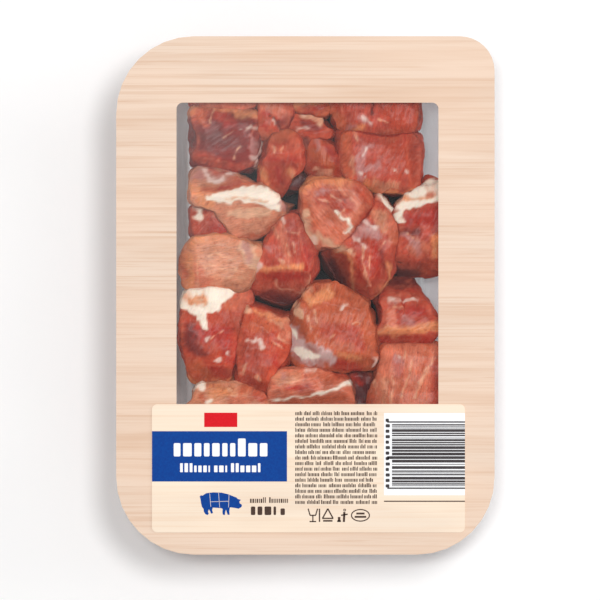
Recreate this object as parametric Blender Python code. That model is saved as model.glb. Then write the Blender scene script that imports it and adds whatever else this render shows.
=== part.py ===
"""A sealed tray pack of diced pork: clear tray, absorbent pad, meat, film, printed wood sheet and label.

Metres, +Z up. The origin is at the middle of the tray's underside. X runs across the pack, Y along it,
and +Y is the end with the window.
"""
import math

import bmesh
import bpy
from mathutils import Vector, noise

MM = 0.001

# Pack and tray
PACK_WIDTH = 136.8 * MM
PACK_LENGTH = 187.4 * MM
PACK_CORNER = 28.0 * MM
TAB_CORNER = 12.5 * MM
RIM_HEIGHT = 44.4 * MM
RIM_WIDTH = 7.4 * MM
RIM_THICKNESS = 0.9 * MM
WALL = 0.6 * MM
FLOOR_HALF_WIDTH = 45.0 * MM
FLOOR_HALF_LENGTH = 74.0 * MM
FLOOR_CORNER = 16.0 * MM
FLOOR_ROUND = 4.0 * MM
FLOOR_ROUND_MIDDLE = 2.0 * MM
WALL_FOOT = 6.4 * MM
SHOULDER_HEIGHT = 38.0 * MM
SHOULDER_STEP = 1.6 * MM
SHOULDER_SLOPE = 2.5 * MM
FLUTE_DEPTH = 1.0 * MM
FLUTES_LONG = 5
FLUTES_SHORT = 3
STEPS_PER_FLUTE = 4
CORNER_STEPS = 6
PANEL_RISE = 0.8 * MM
PANEL_INSET = 9.0 * MM
PANEL_SLOPE = 1.6 * MM

# Space between the layers, from the tray's floor to the label
SHEET_GAP = 0.1 * MM

# Absorbent pad on the tray's floor
PAD_HALF_WIDTH = 39.0 * MM
PAD_HALF_LENGTH = 66.0 * MM
PAD_CORNER = 6.0 * MM
PAD_THICKNESS = 2.0 * MM
PAD_FOOT_INSET = 0.6 * MM
PAD_FOOT = 0.5 * MM
PAD_SHOULDER = 1.3 * MM
PAD_TOP_INSET = 1.2 * MM
PAD_BASE = WALL + PANEL_RISE + SHEET_GAP

# Sheets over the tray
FILM_THICKNESS = 0.3 * MM
PRINT_THICKNESS = 0.15 * MM
LABEL_THICKNESS = 0.2 * MM
SHEET_CORNER_STEPS = 8
WINDOW_LEFT = -46.6 * MM
WINDOW_RIGHT = 48.1 * MM
WINDOW_BOTTOM = -52.0 * MM
WINDOW_TOP = 69.7 * MM
WINDOW_CORNER = 2.3 * MM
LABEL_LEFT = -55.5 * MM
LABEL_RIGHT = 57.7 * MM
LABEL_BOTTOM = -85.7 * MM
LABEL_TOP = -39.3 * MM
LABEL_CORNER = 2.0 * MM

# Meat: how an outline is rounded and kept clear, and the rings of one piece from its base to its top
GAP = 0.3 * MM
CLEARANCE = 0.4 * MM
CORNER_CUT = 1.3 * MM
CORNER_CUT_SHARE = 0.25
LONGEST_SIDE = 6.5 * MM
KEEP_APART_ROUNDS = 4
LEAST_THICKNESS = 0.2 * MM
PARALLEL = 1e-12
INSET_SHARE = 0.3
SHRINK_STEP = 0.6 * MM
SHRINK_EASE = 0.2
BASE_INSET = 1.2 * MM
BELLY_RISE = 3.0 * MM
SIDE_DENT = 0.25 * MM
SIDE_DENT_SCALE = 90.0
GROW_STEP = 0.5 * MM
GROW_STEPS = 6
GROW_CLEARANCE = 0.5 * MM
GROW_HALF_WIDTH = 41.5 * MM
NEIGHBOUR_REACH = 8.0 * MM
WAIST_DROP = 7.0 * MM
SHOULDER_DROP = 1.8 * MM
SHOULDER_INSET = 0.1 * MM
EDGE_DROP = 0.4 * MM
EDGE_INSET = 0.7 * MM
CROWN_SHARES = (0.2, 0.5)
TOP_SWELL = 0.9 * MM
TOP_SWELL_SCALE = 70.0
CUT_SOFTNESS = 0.8 * MM
SEED_STEP = 3.7

# One row for each piece of meat. Its corners in mm follow its cut edges. Then come the height of its top
# in mm and its knife cuts: the direction in degrees in which the top falls, how far from the middle of
# the piece in mm the fall begins, and how steep it is. A piece gives way to those before it in the list.
MEAT = {
    "meat_ribbed_slab": (
        [(-43.6, 17.0), (-39.5, 20.8), (-31, 21.6), (-15.6, 16.4), (-22, 2.4), (-43.2, 2.8), (-45, 9)],
        37.0, [(270, 7, 0.25)]),
    "meat_fat_ridge": (
        [(-40, 45.6), (-33, 45.8), (-17, 39.6), (-6.2, 33.2), (-7, 29.6), (-17, 20.4), (-25.4, 20.8),
         (-33.4, 32.4), (-41, 33.5)],
        38.0, [(285, -1, 0.5), (85, 6, 0.45)]),
    "meat_bright_block": (
        [(-0.8, 38.2), (4, 41.4), (14, 41.3), (20.4, 40.6), (24.6, 33.6), (16.2, 21.4), (10.8, 18),
         (3, 19.2), (-0.8, 30.6)],
        38.0, [(325, 9, 0.5), (240, 9, 0.25)]),
    "meat_marbled_square": (
        [(14.2, 59.6), (30, 56.6), (40.2, 58.6), (42, 53), (40.6, 38.8), (36.5, 36.8), (27.4, 38),
         (21.6, 41.2), (14.6, 42.7), (12.7, 51)],
        37.0, [(275, 8, 0.9)]),
    "meat_orange_face": (
        [(2.6, 3.4), (10, 4), (22.8, -2.6), (24.6, -8), (25.6, -23.8), (20, -26.2), (-3, -26.2),
         (-6, -20), (-3.4, -7.4)],
        37.5, [(225, 9, 0.5)]),
    "meat_ridged_red": (
        [(-14.6, 17.6), (-9.6, 26.6), (-3.6, 30.2), (1.8, 19.5), (3.4, 11), (-1.2, -1.2), (-9, -3),
         (-17.6, -0.4), (-19.6, 4.4)],
        36.0, [(262, 6, 0.8)]),
    "meat_top_pair": (
        [(10, 79), (40, 79), (40.3, 60.2), (30, 57.3), (19, 58.9), (13.4, 61), (9.4, 64.6)],
        36.0, [(270, 6, 0.35)]),
    "meat_marbled_long": (
        [(26, 37.2), (30.2, 34.8), (34.4, 27), (34.8, 20.5), (28, 3.6), (21, -2.6), (12, 3.6),
         (5.6, 16.6), (17, 20.6), (25, 30.6)],
        36.0, [(215, 8.5, 1.1), (35, 8, 0.3)]),
    "meat_fat_banded": (
        [(30.6, 32), (36.4, 36), (44, 39.6), (53, 40), (53, 9.4), (45, 7.4), (33.4, 7.8), (35.2, 25)],
        36.5, [(270, 9, 0.8)]),
    "meat_trapezoid": (
        [(30.6, 6.8), (38.4, 6.8), (48.6, -10), (47, -15.6), (41, -17.8), (30, -17.8), (26.8, -14),
         (27.4, -3.6)],
        35.0, [(90, 4.5, 0.9), (270, 8, 0.4)]),
    "meat_left_dark": (
        [(-43.6, 1.6), (-33, 1.8), (-20.4, 1.8), (-20, -1.6), (-24.6, -13), (-26, -24), (-29, -30.6),
         (-40, -31.6), (-45.4, -16)],
        36.0, [(270, 11, 0.4), (0, 6, 0.5)]),
    "meat_centre_left": (
        [(-20.4, -3.2), (-13.6, -4.6), (-5.8, -9.4), (-6.6, -22), (-11.6, -27.4), (-13.4, -35.6),
         (-23.6, -32), (-24.4, -17)],
        35.0, [(70, 9, 0.5)]),
    "meat_striped": (
        [(27.4, -18.6), (53, -18.4), (53, -45), (23.6, -45), (23, -38.6), (27.6, -25.4)],
        36.5, [(180, 9, 0.4)]),
    "meat_top_left": (
        [(-42, 67.6), (-18, 67.8), (-16.9, 59), (-19.2, 46.3), (-27, 45.2), (-41.6, 49.3),
         (-38.6, 56.2)],
        36.0, [(280, 7, 0.3), (90, 8, 0.4)]),
    "meat_wedge": (
        [(-12, 57), (-7.5, 60), (-2.5, 58), (-0.8, 47), (-6, 43), (-9, 36.6), (-12.6, 36),
         (-16.6, 40.6)],
        36.5, [(255, 8, 0.4), (20, 4, 0.4)]),
    "meat_small_orange": (
        [(-16.6, 79), (-4.5, 79), (-4.2, 66.5), (-7, 61.2), (-12.6, 57.4), (-16.4, 58.2)],
        35.0, [(20, 3, 0.5)]),
    "meat_brown_block": (
        [(2.4, 57), (9.4, 56), (14.2, 43), (2.6, 43), (0, 46.8)],
        34.0, [(180, 4, 0.4)]),
    "meat_white_edge": (
        [(-4.6, 65.8), (1.5, 66.5), (6.3, 63.6), (10, 57.4), (2.8, 58.2), (0.2, 51.8), (-2, 58.6),
         (-6.4, 61)],
        33.0, [(260, 1, 0.4)]),
    "meat_behind_edge": (
        [(-3.6, 67), (1.6, 67.2), (6.8, 64.8), (9, 66.5), (9, 79), (-3.9, 79)],
        34.0, []),
    "meat_behind_left": (
        [(-38.8, 68.7), (-17.6, 68.6), (-18, 77.4), (-36.4, 77)],
        33.5, []),
    "meat_under_ridge": (
        [(-41, 32.8), (-34, 31.6), (-27.4, 22.4), (-31, 22.2), (-41, 21.6)],
        31.5, []),
    "meat_deep_maroon": (
        [(-5.4, 42.6), (-0.4, 46), (2.4, 43), (-1.4, 38.8), (-7.4, 38.8)],
        24.0, []),
    "meat_white_line": (
        [(-9.5, -26.8), (5, -27.2), (14.6, -31), (16.6, -36), (17, -50), (-12, -50), (-12.8, -33)],
        35.5, [(270, 2, 0.15), (90, 8, 0.4)]),
    "meat_deep_slot": (
        [(15.4, -27), (23.6, -26.8), (25, -31), (22.4, -38.6), (22.8, -46), (18, -46), (17.2, -33)],
        26.0, []),
    "meat_pale_low": (
        [(-40.4, -33.4), (-35, -32.4), (-24, -32.6), (-14.2, -36.6), (-13, -50), (-43, -50),
         (-41.4, -38)],
        35.5, [(90, 7, 0.4)]),
    "meat_hidden_1": ([(-44, -51), (-23, -51), (-24, -73), (-42, -73)], 35.0, []),
    "meat_hidden_2": ([(-22, -51), (-1, -51), (-2.5, -74), (-23, -74)], 34.0, []),
    "meat_hidden_3": ([(0, -51), (21.4, -51), (22.4, -73), (-1.4, -74)], 35.0, []),
    "meat_hidden_4": ([(22.4, -46.4), (51, -46), (46, -71), (23.4, -73)], 35.0, []),
}

# The peak of a piece is over its middle, except where a bent outline needs a spot that sees all of it
PEAKS = {"meat_marbled_long": (27.0, 20.0)}

# Colours: base colour, roughness and alpha
FINISHES = {
    "clear_plastic": ((0.86, 0.88, 0.90), 0.12, 0.3),
    "absorbent_pad": ((0.03, 0.035, 0.04), 0.85, 1.0),
    "pork": ((0.48, 0.12, 0.075), 0.35, 1.0),
    "clear_film": ((0.95, 0.95, 0.95), 0.08, 0.15),
    "printed_wood": ((0.86, 0.68, 0.55), 0.45, 1.0),
    "label_paper": ((0.93, 0.83, 0.70), 0.6, 1.0),
}


def clear_scene():
    """Remove every object, so that only the pack is left."""
    for existing in list(bpy.data.objects):
        bpy.data.objects.remove(existing, do_unlink=True)


def finish(name):
    """Return the Principled material of that name, made on first use."""
    material = bpy.data.materials.get(name)
    if material is None:
        colour, roughness, alpha = FINISHES[name]
        material = bpy.data.materials.new(name)
        material.use_nodes = True
        shader = material.node_tree.nodes["Principled BSDF"]
        shader.inputs["Base Color"].default_value = (*colour, 1.0)
        shader.inputs["Roughness"].default_value = roughness
        shader.inputs["Metallic"].default_value = 0.0
        shader.inputs["Alpha"].default_value = alpha
    return material


def make_object(name, mesh_data, material, sharp_angle=40.0):
    """Turn a bmesh into a named object with outward faces and smooth shading below the sharp angle."""
    bmesh.ops.recalc_face_normals(mesh_data, faces=mesh_data.faces)
    mesh = bpy.data.meshes.new(name)
    mesh_data.to_mesh(mesh)
    mesh_data.free()
    mesh.shade_smooth()
    mesh.set_sharp_from_angle(angle=math.radians(sharp_angle))
    mesh.materials.append(finish(material))
    made = bpy.data.objects.new(name, mesh)
    bpy.context.scene.collection.objects.link(made)
    return made


def loft(name, rings, material, sharp_angle=40.0, crown=None):
    """Join rings of equally many points into one closed skin, capped flat or by a fan up to a crown."""
    mesh_data = bmesh.new()
    loops = [[mesh_data.verts.new(point) for point in ring] for ring in rings]
    count = len(loops[0])
    for lower, upper in zip(loops, loops[1:]):
        for i in range(count):
            j = (i + 1) % count
            mesh_data.faces.new((lower[i], lower[j], upper[j], upper[i]))
    mesh_data.faces.new(loops[0])
    if crown is None:
        mesh_data.faces.new(loops[-1])
    else:
        peak = mesh_data.verts.new(crown)
        for i in range(count):
            mesh_data.faces.new((loops[-1][i], loops[-1][(i + 1) % count], peak))
    return make_object(name, mesh_data, material, sharp_angle)


def rounded_rectangle(left, right, bottom, top, radii, corner_steps, side_steps=(1, 1), flutes=None):
    """Outline of a rectangle with a radius for each corner, from the right end of the top side.

    radii: top right, top left, bottom left, bottom right. side_steps: points along the short and long
    sides. flutes: depth and how many of them pull in the short and the long sides.
    """
    centres = (
        (right - radii[0], top - radii[0]), (left + radii[1], top - radii[1]),
        (left + radii[2], bottom + radii[2]), (right - radii[3], bottom + radii[3]))
    outline = []
    for quarter in range(4):
        centre_x, centre_y = centres[quarter]
        radius = radii[quarter]
        for step in range(corner_steps + 1):
            angle = math.radians(90.0) * (quarter + step / corner_steps)
            arm = Vector((math.cos(angle), math.sin(angle)))
            outline.append(Vector((centre_x, centre_y)) + radius * arm)
        side = quarter % 2
        steps = side_steps[side]
        following = (quarter + 1) % 4
        turn = math.radians(90.0) * following
        inward = -Vector((math.cos(turn), math.sin(turn)))
        start = outline[-1].copy()
        end = Vector(centres[following]) - radii[following] * inward
        for step in range(1, steps):
            along = step / steps
            point = start.lerp(end, along)
            if flutes:
                depth, counts = flutes
                point += inward * depth * 0.5 * (1.0 - math.cos(2.0 * math.pi * counts[side] * along))
            outline.append(point)
    return outline


def cavity(height):
    """Half width, half length and corner radius of the inside of the tray at that height."""
    rise = min(max((height - FLOOR_ROUND) / (RIM_HEIGHT - FLOOR_ROUND), 0.0), 1.0)
    pinch = 0.0
    if height < FLOOR_ROUND:
        drop = (FLOOR_ROUND - height) / FLOOR_ROUND
        pinch = FLOOR_ROUND * (1.0 - math.sqrt(max(1.0 - drop * drop, 0.0)))
    step = SHOULDER_STEP if height >= SHOULDER_HEIGHT else 0.0
    top_half_width = PACK_WIDTH / 2 - RIM_WIDTH - SHOULDER_STEP
    top_half_length = PACK_LENGTH / 2 - RIM_WIDTH - SHOULDER_STEP
    top_corner = PACK_CORNER - RIM_WIDTH - SHOULDER_STEP
    half_width = FLOOR_HALF_WIDTH + rise * (top_half_width - FLOOR_HALF_WIDTH) - pinch + step
    half_length = FLOOR_HALF_LENGTH + rise * (top_half_length - FLOOR_HALF_LENGTH) - pinch + step
    corner = FLOOR_CORNER + rise * (top_corner - FLOOR_CORNER) - pinch + step
    return half_width, half_length, corner


def tray_ring(half_width, half_length, corner, height, flute_depth=0.0):
    """One level ring of the tray, with flutes in its straight sides."""
    side_steps = (FLUTES_SHORT * STEPS_PER_FLUTE, FLUTES_LONG * STEPS_PER_FLUTE)
    flutes = (flute_depth, (FLUTES_SHORT, FLUTES_LONG))
    outline = rounded_rectangle(
        -half_width, half_width, -half_length, half_length, [corner] * 4, CORNER_STEPS, side_steps, flutes)
    return [(point.x, point.y, height) for point in outline]


def make_tray():
    """Thin clear shell: raised floor panel, round floor edge, fluted walls, shoulder and flat rim."""
    levels = (
        (WALL, 0.0), (FLOOR_ROUND_MIDDLE, 0.0), (WALL_FOOT, FLUTE_DEPTH),
        (SHOULDER_HEIGHT - SHOULDER_SLOPE, FLUTE_DEPTH), (SHOULDER_HEIGHT, 0.0))
    inside = []
    outside = []
    half_width, half_length, corner = cavity(WALL)
    for inset, rise in ((PANEL_INSET + PANEL_SLOPE, PANEL_RISE), (PANEL_INSET, 0.0)):
        inside.append(tray_ring(half_width - inset, half_length - inset, corner, WALL + rise))
        outside.append(tray_ring(half_width - inset, half_length - inset, corner, rise))
    for height, flute_depth in levels:
        half_width, half_length, corner = cavity(height)
        inside.append(tray_ring(half_width, half_length, corner, height, flute_depth))
        outside.append(tray_ring(
            half_width + WALL, half_length + WALL, corner + WALL, height - WALL, flute_depth))
    rim_half_width = PACK_WIDTH / 2
    rim_half_length = PACK_LENGTH / 2
    half_width, half_length, corner = cavity(RIM_HEIGHT)
    rim_base = RIM_HEIGHT - RIM_THICKNESS
    rings = outside
    rings.append(tray_ring(half_width + WALL, half_length + WALL, corner + WALL, rim_base))
    rings.append(tray_ring(rim_half_width, rim_half_length, PACK_CORNER, rim_base))
    rings.append(tray_ring(rim_half_width, rim_half_length, PACK_CORNER, RIM_HEIGHT))
    rings.append(tray_ring(half_width, half_length, corner, RIM_HEIGHT))
    rings.extend(reversed(inside))
    return loft("tray", rings, "clear_plastic", 50.0)


def make_pad():
    """Flat absorbent pad with a soft edge, lying on the tray's floor."""
    rings = []
    for inset, height in (
            (PAD_FOOT_INSET, 0.0), (0.0, PAD_FOOT), (0.0, PAD_SHOULDER), (PAD_TOP_INSET, PAD_THICKNESS)):
        outline = rounded_rectangle(
            -PAD_HALF_WIDTH + inset, PAD_HALF_WIDTH - inset, -PAD_HALF_LENGTH + inset,
            PAD_HALF_LENGTH - inset, [PAD_CORNER - inset] * 4, CORNER_STEPS)
        rings.append([(point.x, point.y, PAD_BASE + height) for point in outline])
    return loft("absorbent_pad", rings, "absorbent_pad")


def make_sheet(name, outline, base, thickness, material, opening=None):
    """Flat sheet with an outline and, if given, an opening with as many points."""
    top = base + thickness
    if opening is None:
        rings = [[(p.x, p.y, base) for p in outline], [(p.x, p.y, top) for p in outline]]
        return loft(name, rings, material)
    mesh_data = bmesh.new()
    loops = [
        [mesh_data.verts.new((p.x, p.y, height)) for p in edge]
        for edge, height in ((outline, base), (outline, top), (opening, top), (opening, base))]
    count = len(outline)
    for near, far in zip(loops, loops[1:] + loops[:1]):
        for i in range(count):
            j = (i + 1) % count
            mesh_data.faces.new((near[i], near[j], far[j], far[i]))
    return make_object(name, mesh_data, material)


def make_sheets():
    """Clear film over the whole rim, the printed sheet with its window, and the label across both."""
    pack_edge = rounded_rectangle(
        -PACK_WIDTH / 2, PACK_WIDTH / 2, -PACK_LENGTH / 2, PACK_LENGTH / 2,
        (TAB_CORNER, PACK_CORNER, PACK_CORNER, PACK_CORNER), SHEET_CORNER_STEPS)
    window = rounded_rectangle(
        WINDOW_LEFT, WINDOW_RIGHT, WINDOW_BOTTOM, WINDOW_TOP, [WINDOW_CORNER] * 4, SHEET_CORNER_STEPS)
    label_edge = rounded_rectangle(
        LABEL_LEFT, LABEL_RIGHT, LABEL_BOTTOM, LABEL_TOP, [LABEL_CORNER] * 4, SHEET_CORNER_STEPS)
    film_base = RIM_HEIGHT + SHEET_GAP
    print_base = film_base + FILM_THICKNESS + SHEET_GAP
    label_base = print_base + PRINT_THICKNESS + SHEET_GAP
    make_sheet("lid_film", pack_edge, film_base, FILM_THICKNESS, "clear_film")
    make_sheet("printed_sheet", pack_edge, print_base, PRINT_THICKNESS, "printed_wood", window)
    make_sheet("label", label_edge, label_base, LABEL_THICKNESS, "label_paper")


def round_corners(corners):
    """Replace each corner by two points beside it, and divide the long sides between them."""
    cut = []
    count = len(corners)
    for i in range(count):
        corner = corners[i]
        for neighbour in (corners[i - 1], corners[(i + 1) % count]):
            run = neighbour - corner
            reach = min(CORNER_CUT, CORNER_CUT_SHARE * run.length)
            cut.append(corner + run.normalized() * reach)
    outline = []
    for start, end in zip(cut, cut[1:] + cut[:1]):
        parts = max(1, math.ceil((end - start).length / LONGEST_SIDE))
        outline.extend(start.lerp(end, step / parts) for step in range(parts))
    return outline


def outward_normals(outline):
    """Outward direction at each point of an outline that may run either way round."""
    count = len(outline)
    area = sum(outline[i - 1].cross(outline[i]) for i in range(count))
    sign = 1.0 if area > 0 else -1.0
    normals = []
    for i in range(count):
        run = outline[(i + 1) % count] - outline[i - 1]
        normals.append(Vector((run.y, -run.x)).normalized() * sign)
    return normals


def nearest_on_outline(point, outline):
    """Nearest point of an outline, its distance, and whether the given point lies inside."""
    best = None
    best_distance = math.inf
    inside = False
    for i in range(len(outline)):
        a = outline[i - 1]
        b = outline[i]
        run = b - a
        along = min(max((point - a).dot(run) / run.length_squared, 0.0), 1.0)
        foot = a + run * along
        distance = (point - foot).length
        if distance < best_distance:
            best = foot
            best_distance = distance
        if (a.y > point.y) != (b.y > point.y) and point.x < a.x + run.x * (point.y - a.y) / run.y:
            inside = not inside
    return best, best_distance, inside


def thickness_behind(point, normal, outline):
    """How thick a piece is behind a point of its outline, measured straight across."""
    nearest = math.inf
    for i in range(len(outline)):
        a = outline[i - 1]
        run = outline[i] - a
        facing = run.cross(normal)
        if abs(facing) < PARALLEL:
            continue
        across = (a - point).cross(run) / normal.cross(run)
        along = (a - point).cross(normal) / normal.cross(run)
        if 0.0 <= along <= 1.0 and across < -LEAST_THICKNESS:
            nearest = min(nearest, -across)
    return nearest


def give_way(outline, placed):
    """Move the points of an outline that come too near a placed one out of its way."""
    for _ in range(KEEP_APART_ROUNDS):
        for other in placed:
            for i, point in enumerate(outline):
                foot, distance, inside = nearest_on_outline(point, other)
                if inside:
                    outline[i] = foot + (foot - point).normalized() * CLEARANCE
                elif distance < CLEARANCE:
                    outline[i] = foot + (point - foot).normalized() * CLEARANCE
    return outline


def meat_outlines():
    """Rounded outline of every piece, each clear of those before it."""
    outlines = {}
    for name, (corners, _, _) in MEAT.items():
        outline = round_corners([Vector(corner) * MM for corner in corners])
        outlines[name] = give_way(outline, list(outlines.values()))
    return outlines


def segment_distance(point, start, end):
    """How far a point is from a straight side."""
    run = end - start
    along = min(max((point - start).dot(run) / run.length_squared, 0.0), 1.0)
    return (point - start - run * along).length


def has_room(outline, index, place, others):
    """Whether a point of an outline can move to a place and leave it clear of the other outlines."""
    before = outline[index - 1]
    after = outline[(index + 1) % len(outline)]
    if abs(place.x) > max(GROW_HALF_WIDTH, abs(outline[index].x)):
        return False
    for other in others:
        distance, inside = nearest_on_outline(place, other)[1:]
        if inside or distance < GROW_CLEARANCE:
            return False
        for point in other:
            gaps = (segment_distance(point, before, place), segment_distance(point, place, after))
            if min(gaps) < GROW_CLEARANCE:
                return False
    return True


def close_by(outline, other):
    """Whether the boxes round two outlines are near each other."""
    return all(
        min(point[axis] for point in outline) - NEIGHBOUR_REACH < max(point[axis] for point in other)
        and max(point[axis] for point in outline) + NEIGHBOUR_REACH > min(point[axis] for point in other)
        for axis in (0, 1))


def grown_outlines(outlines):
    """Every outline pushed out into the free space round it, where the meat bulges below its top."""
    grown = {name: list(outline) for name, outline in outlines.items()}
    near = {
        name: [grown[other] for other in grown if other != name and close_by(outline, grown[other])]
        for name, outline in grown.items()}
    for _ in range(GROW_STEPS):
        for name, outline in grown.items():
            for i, normal in enumerate(outward_normals(outline)):
                place = outline[i] + normal * GROW_STEP
                if has_room(outline, i, place, near[name]):
                    outline[i] = place
    return grown


def squeeze(values, limit):
    """Numbers whose outer half on each side is drawn in evenly, so that none passes the limit."""
    middle = sum(values) / len(values)
    high = max(values)
    low = min(values)
    drawn = []
    for value in values:
        if value > middle and high > limit:
            value = middle + (value - middle) * (limit - middle) / (high - middle)
        elif value < middle and low < -limit:
            value = middle + (value - middle) * (-limit - middle) / (low - middle)
        drawn.append(value)
    return drawn


def keep_in_tray(spots, height):
    """Draw a ring of spots inside the tray's walls and rounded corners at that height."""
    half_width, half_length, corner = cavity(height)
    margin = FLUTE_DEPTH + CLEARANCE
    across = squeeze([spot.x for spot in spots], half_width - margin)
    along = squeeze([spot.y for spot in spots], half_length - margin)
    kept = []
    for x, y in zip(across, along):
        over = Vector((abs(x) - (half_width - corner), abs(y) - (half_length - corner)))
        if over.x > 0 and over.y > 0 and over.length > corner - margin:
            over = over.normalized() * (corner - margin)
        kept.append(Vector((
            math.copysign(half_width - corner + over.x, x),
            math.copysign(half_length - corner + over.y, y))))
    return kept


def soft_beyond(distance):
    """How far a distance runs past zero, with a rounded start."""
    return 0.5 * (distance + math.sqrt(distance * distance + CUT_SOFTNESS * CUT_SOFTNESS))


def top_height(x, y, middle, top, cuts, seed):
    """Height of the top of a piece: its own level, lowered by its knife cuts and gently uneven."""
    height = top
    for direction, start, slope in cuts:
        angle = math.radians(direction)
        along = (x - middle.x) * math.cos(angle) + (y - middle.y) * math.sin(angle)
        height -= slope * soft_beyond(along - start * MM)
    swell = noise.noise(Vector((x * TOP_SWELL_SCALE, y * TOP_SWELL_SCALE, seed)))
    return height + TOP_SWELL * swell


def shrink(outline, distance):
    """An outline drawn in evenly by a distance, or by less where the piece is narrow."""
    start_normals = outward_normals(outline)
    limits = [
        INSET_SHARE * thickness_behind(point, normal, outline)
        for point, normal in zip(outline, start_normals)]
    steps = max(1, round(distance / SHRINK_STEP))
    count = len(outline)
    for _ in range(steps):
        normals = outward_normals(outline)
        moved = [
            point - normal * min(distance, limit) / steps
            for point, normal, limit in zip(outline, normals, limits)]
        outline = [
            moved[i].lerp((moved[i - 1] + moved[(i + 1) % count]) / 2, SHRINK_EASE)
            for i in range(count)]
    return outline


def dented(outline, seed):
    """An outline pulled in here and there by shallow dents."""
    spots = []
    for point, normal in zip(outline, outward_normals(outline)):
        probe = Vector((point.x * SIDE_DENT_SCALE, point.y * SIDE_DENT_SCALE, seed))
        spots.append(point - normal * SIDE_DENT * (0.5 + 0.5 * noise.noise(probe)))
    return spots


def make_piece(name, outline, belly, top, cuts, seed):
    """One piece of meat: rings from its base, up its bulging sides and over the edge of its uneven top."""
    middle = sum(outline, Vector((0.0, 0.0))) / len(outline)
    peak = Vector(PEAKS[name]) * MM if name in PEAKS else middle
    side = dented(outline, seed)
    base = PAD_BASE + PAD_THICKNESS + GAP
    edge = shrink(side, EDGE_INSET)
    levels = (
        (shrink(side, BASE_INSET), 0.0, 0.0),
        (belly, 0.0, BELLY_RISE),
        (belly, 1.0, -WAIST_DROP),
        (shrink(side, SHOULDER_INSET), 1.0, -SHOULDER_DROP),
        (edge, 1.0, -EDGE_DROP),
        *(([spot.lerp(peak, share) for spot in edge], 1.0, 0.0) for share in CROWN_SHARES))
    rings = []
    for spots, share, offset in levels:
        heights = [
            base + share * (top_height(*spot, middle, top, cuts, seed) - base) + offset for spot in spots]
        kept = keep_in_tray(spots, min(heights))
        rings.append([(*spot, height) for spot, height in zip(kept, heights)])
    crown = (*peak, top_height(*peak, middle, top, cuts, seed))
    return loft(name, rings, "pork", 180.0, crown)


def make_meat():
    """Every piece of meat, side by side on the pad."""
    outlines = meat_outlines()
    bellies = grown_outlines(outlines)
    for number, (name, (_, top, cuts)) in enumerate(MEAT.items()):
        make_piece(name, outlines[name], bellies[name], top * MM, cuts, SEED_STEP * number)


clear_scene()
make_tray()
make_pad()
make_meat()
make_sheets()
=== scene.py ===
from itertools import product
from math import cos, pi, radians, sin
from random import Random

import bpy
import numpy as np
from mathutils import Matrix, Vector


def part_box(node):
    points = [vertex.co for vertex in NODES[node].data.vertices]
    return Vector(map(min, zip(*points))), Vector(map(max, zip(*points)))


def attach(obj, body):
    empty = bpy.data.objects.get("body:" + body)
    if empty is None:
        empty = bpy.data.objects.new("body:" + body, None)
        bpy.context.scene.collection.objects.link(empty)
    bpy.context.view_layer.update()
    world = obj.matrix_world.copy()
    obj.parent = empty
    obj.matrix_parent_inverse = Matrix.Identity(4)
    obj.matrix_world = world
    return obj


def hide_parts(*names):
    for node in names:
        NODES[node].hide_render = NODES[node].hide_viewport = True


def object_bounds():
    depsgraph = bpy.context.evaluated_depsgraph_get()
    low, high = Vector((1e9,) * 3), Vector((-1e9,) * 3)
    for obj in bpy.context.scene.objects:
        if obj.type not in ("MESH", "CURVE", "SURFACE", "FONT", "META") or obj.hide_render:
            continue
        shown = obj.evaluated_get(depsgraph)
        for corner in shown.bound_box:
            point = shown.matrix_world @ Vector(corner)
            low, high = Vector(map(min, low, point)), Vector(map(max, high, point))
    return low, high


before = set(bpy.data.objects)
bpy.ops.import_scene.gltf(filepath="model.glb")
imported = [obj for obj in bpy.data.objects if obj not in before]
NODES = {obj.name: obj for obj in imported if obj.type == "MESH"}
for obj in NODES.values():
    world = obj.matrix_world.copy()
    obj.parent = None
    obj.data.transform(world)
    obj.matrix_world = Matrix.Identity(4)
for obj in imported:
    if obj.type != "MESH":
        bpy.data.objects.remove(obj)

# Lengths in the tables below are millimetres; the scene itself is in metres.
MM = 0.001
CAD_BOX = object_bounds()

# Mesh of the meat: voxel size, and rounds and strength of the softening of its corners
MEAT_VOXEL = 0.5
SOFTEN_ROUNDS = 1
SOFTEN_FACTOR = 0.5

# Surface of the meat: lumps as size and height, fibres, an even swell and the height at which it is full
LUMPS = ((9.0, 0.42), (3.2, 0.2), (1.3, 0.07))
FIBRE_SIZE = (5.0, 0.75, 2.2)
FIBRE_HEIGHT = 0.1
SWELL = 0.2
FOOT_HEIGHT = 2.0

# How far its sides reach out, the size of the unevenness in that, the depths below the top between which
# it fades away, the width of its border round an open gap, and how round the edge of a knife cut is
SPREAD = 1.15
SPREAD_LUMP = 2.2
SIDE_DEPTHS = (14.0, 8.0)
GAP_EDGE = 2.0
CUT_EDGE = 0.35

# Borders of the marks: warps as size and reach, rough edges, and breaks in the thin pale lines
WARPS = ((4.0, 0.8), (1.5, 0.4))
ROUGH_SIZE = 0.9
ROUGH_STRETCH = (0.5, 1.0, 1.0)
BREAKS = 0.4
BREAK_SIZE = 1.2
BREAK_STRETCH = (0.35, 1.5, 1.5)

# Painted shade of the gaps between pieces: darker meat between two depths below the top, less near the walls
# than within the inner half size
SHADE_DEPTHS = (4.5, 12.0)
OUTER_SHADE = 0.3
INNER_SHADE = 0.8
INNER_HALF_SIZE = (38.0, 64.0)
INNER_EDGE = 4.0

# Gain of red, green and blue in the lean meat, a painted highlight along the rims, painted shade on the sides
# and facets, and uneven tones as size and share
GAIN = (1.04, 0.9, 0.76)
RIM_HIGHLIGHT_TONE = (216, 112, 80)
RIM_HIGHLIGHT_SHARE = 0.4
RIM_HIGHLIGHT_LUMP = 4.0
RIM_HIGHLIGHT_DEPTHS = (6.0, 3.0)
SIDE_SHADE = 0.12
FACET_SHADE = 0.13
MOTTLE = ((11.0, 0.16), (4.0, 0.17), (1.6, 0.12))

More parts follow.
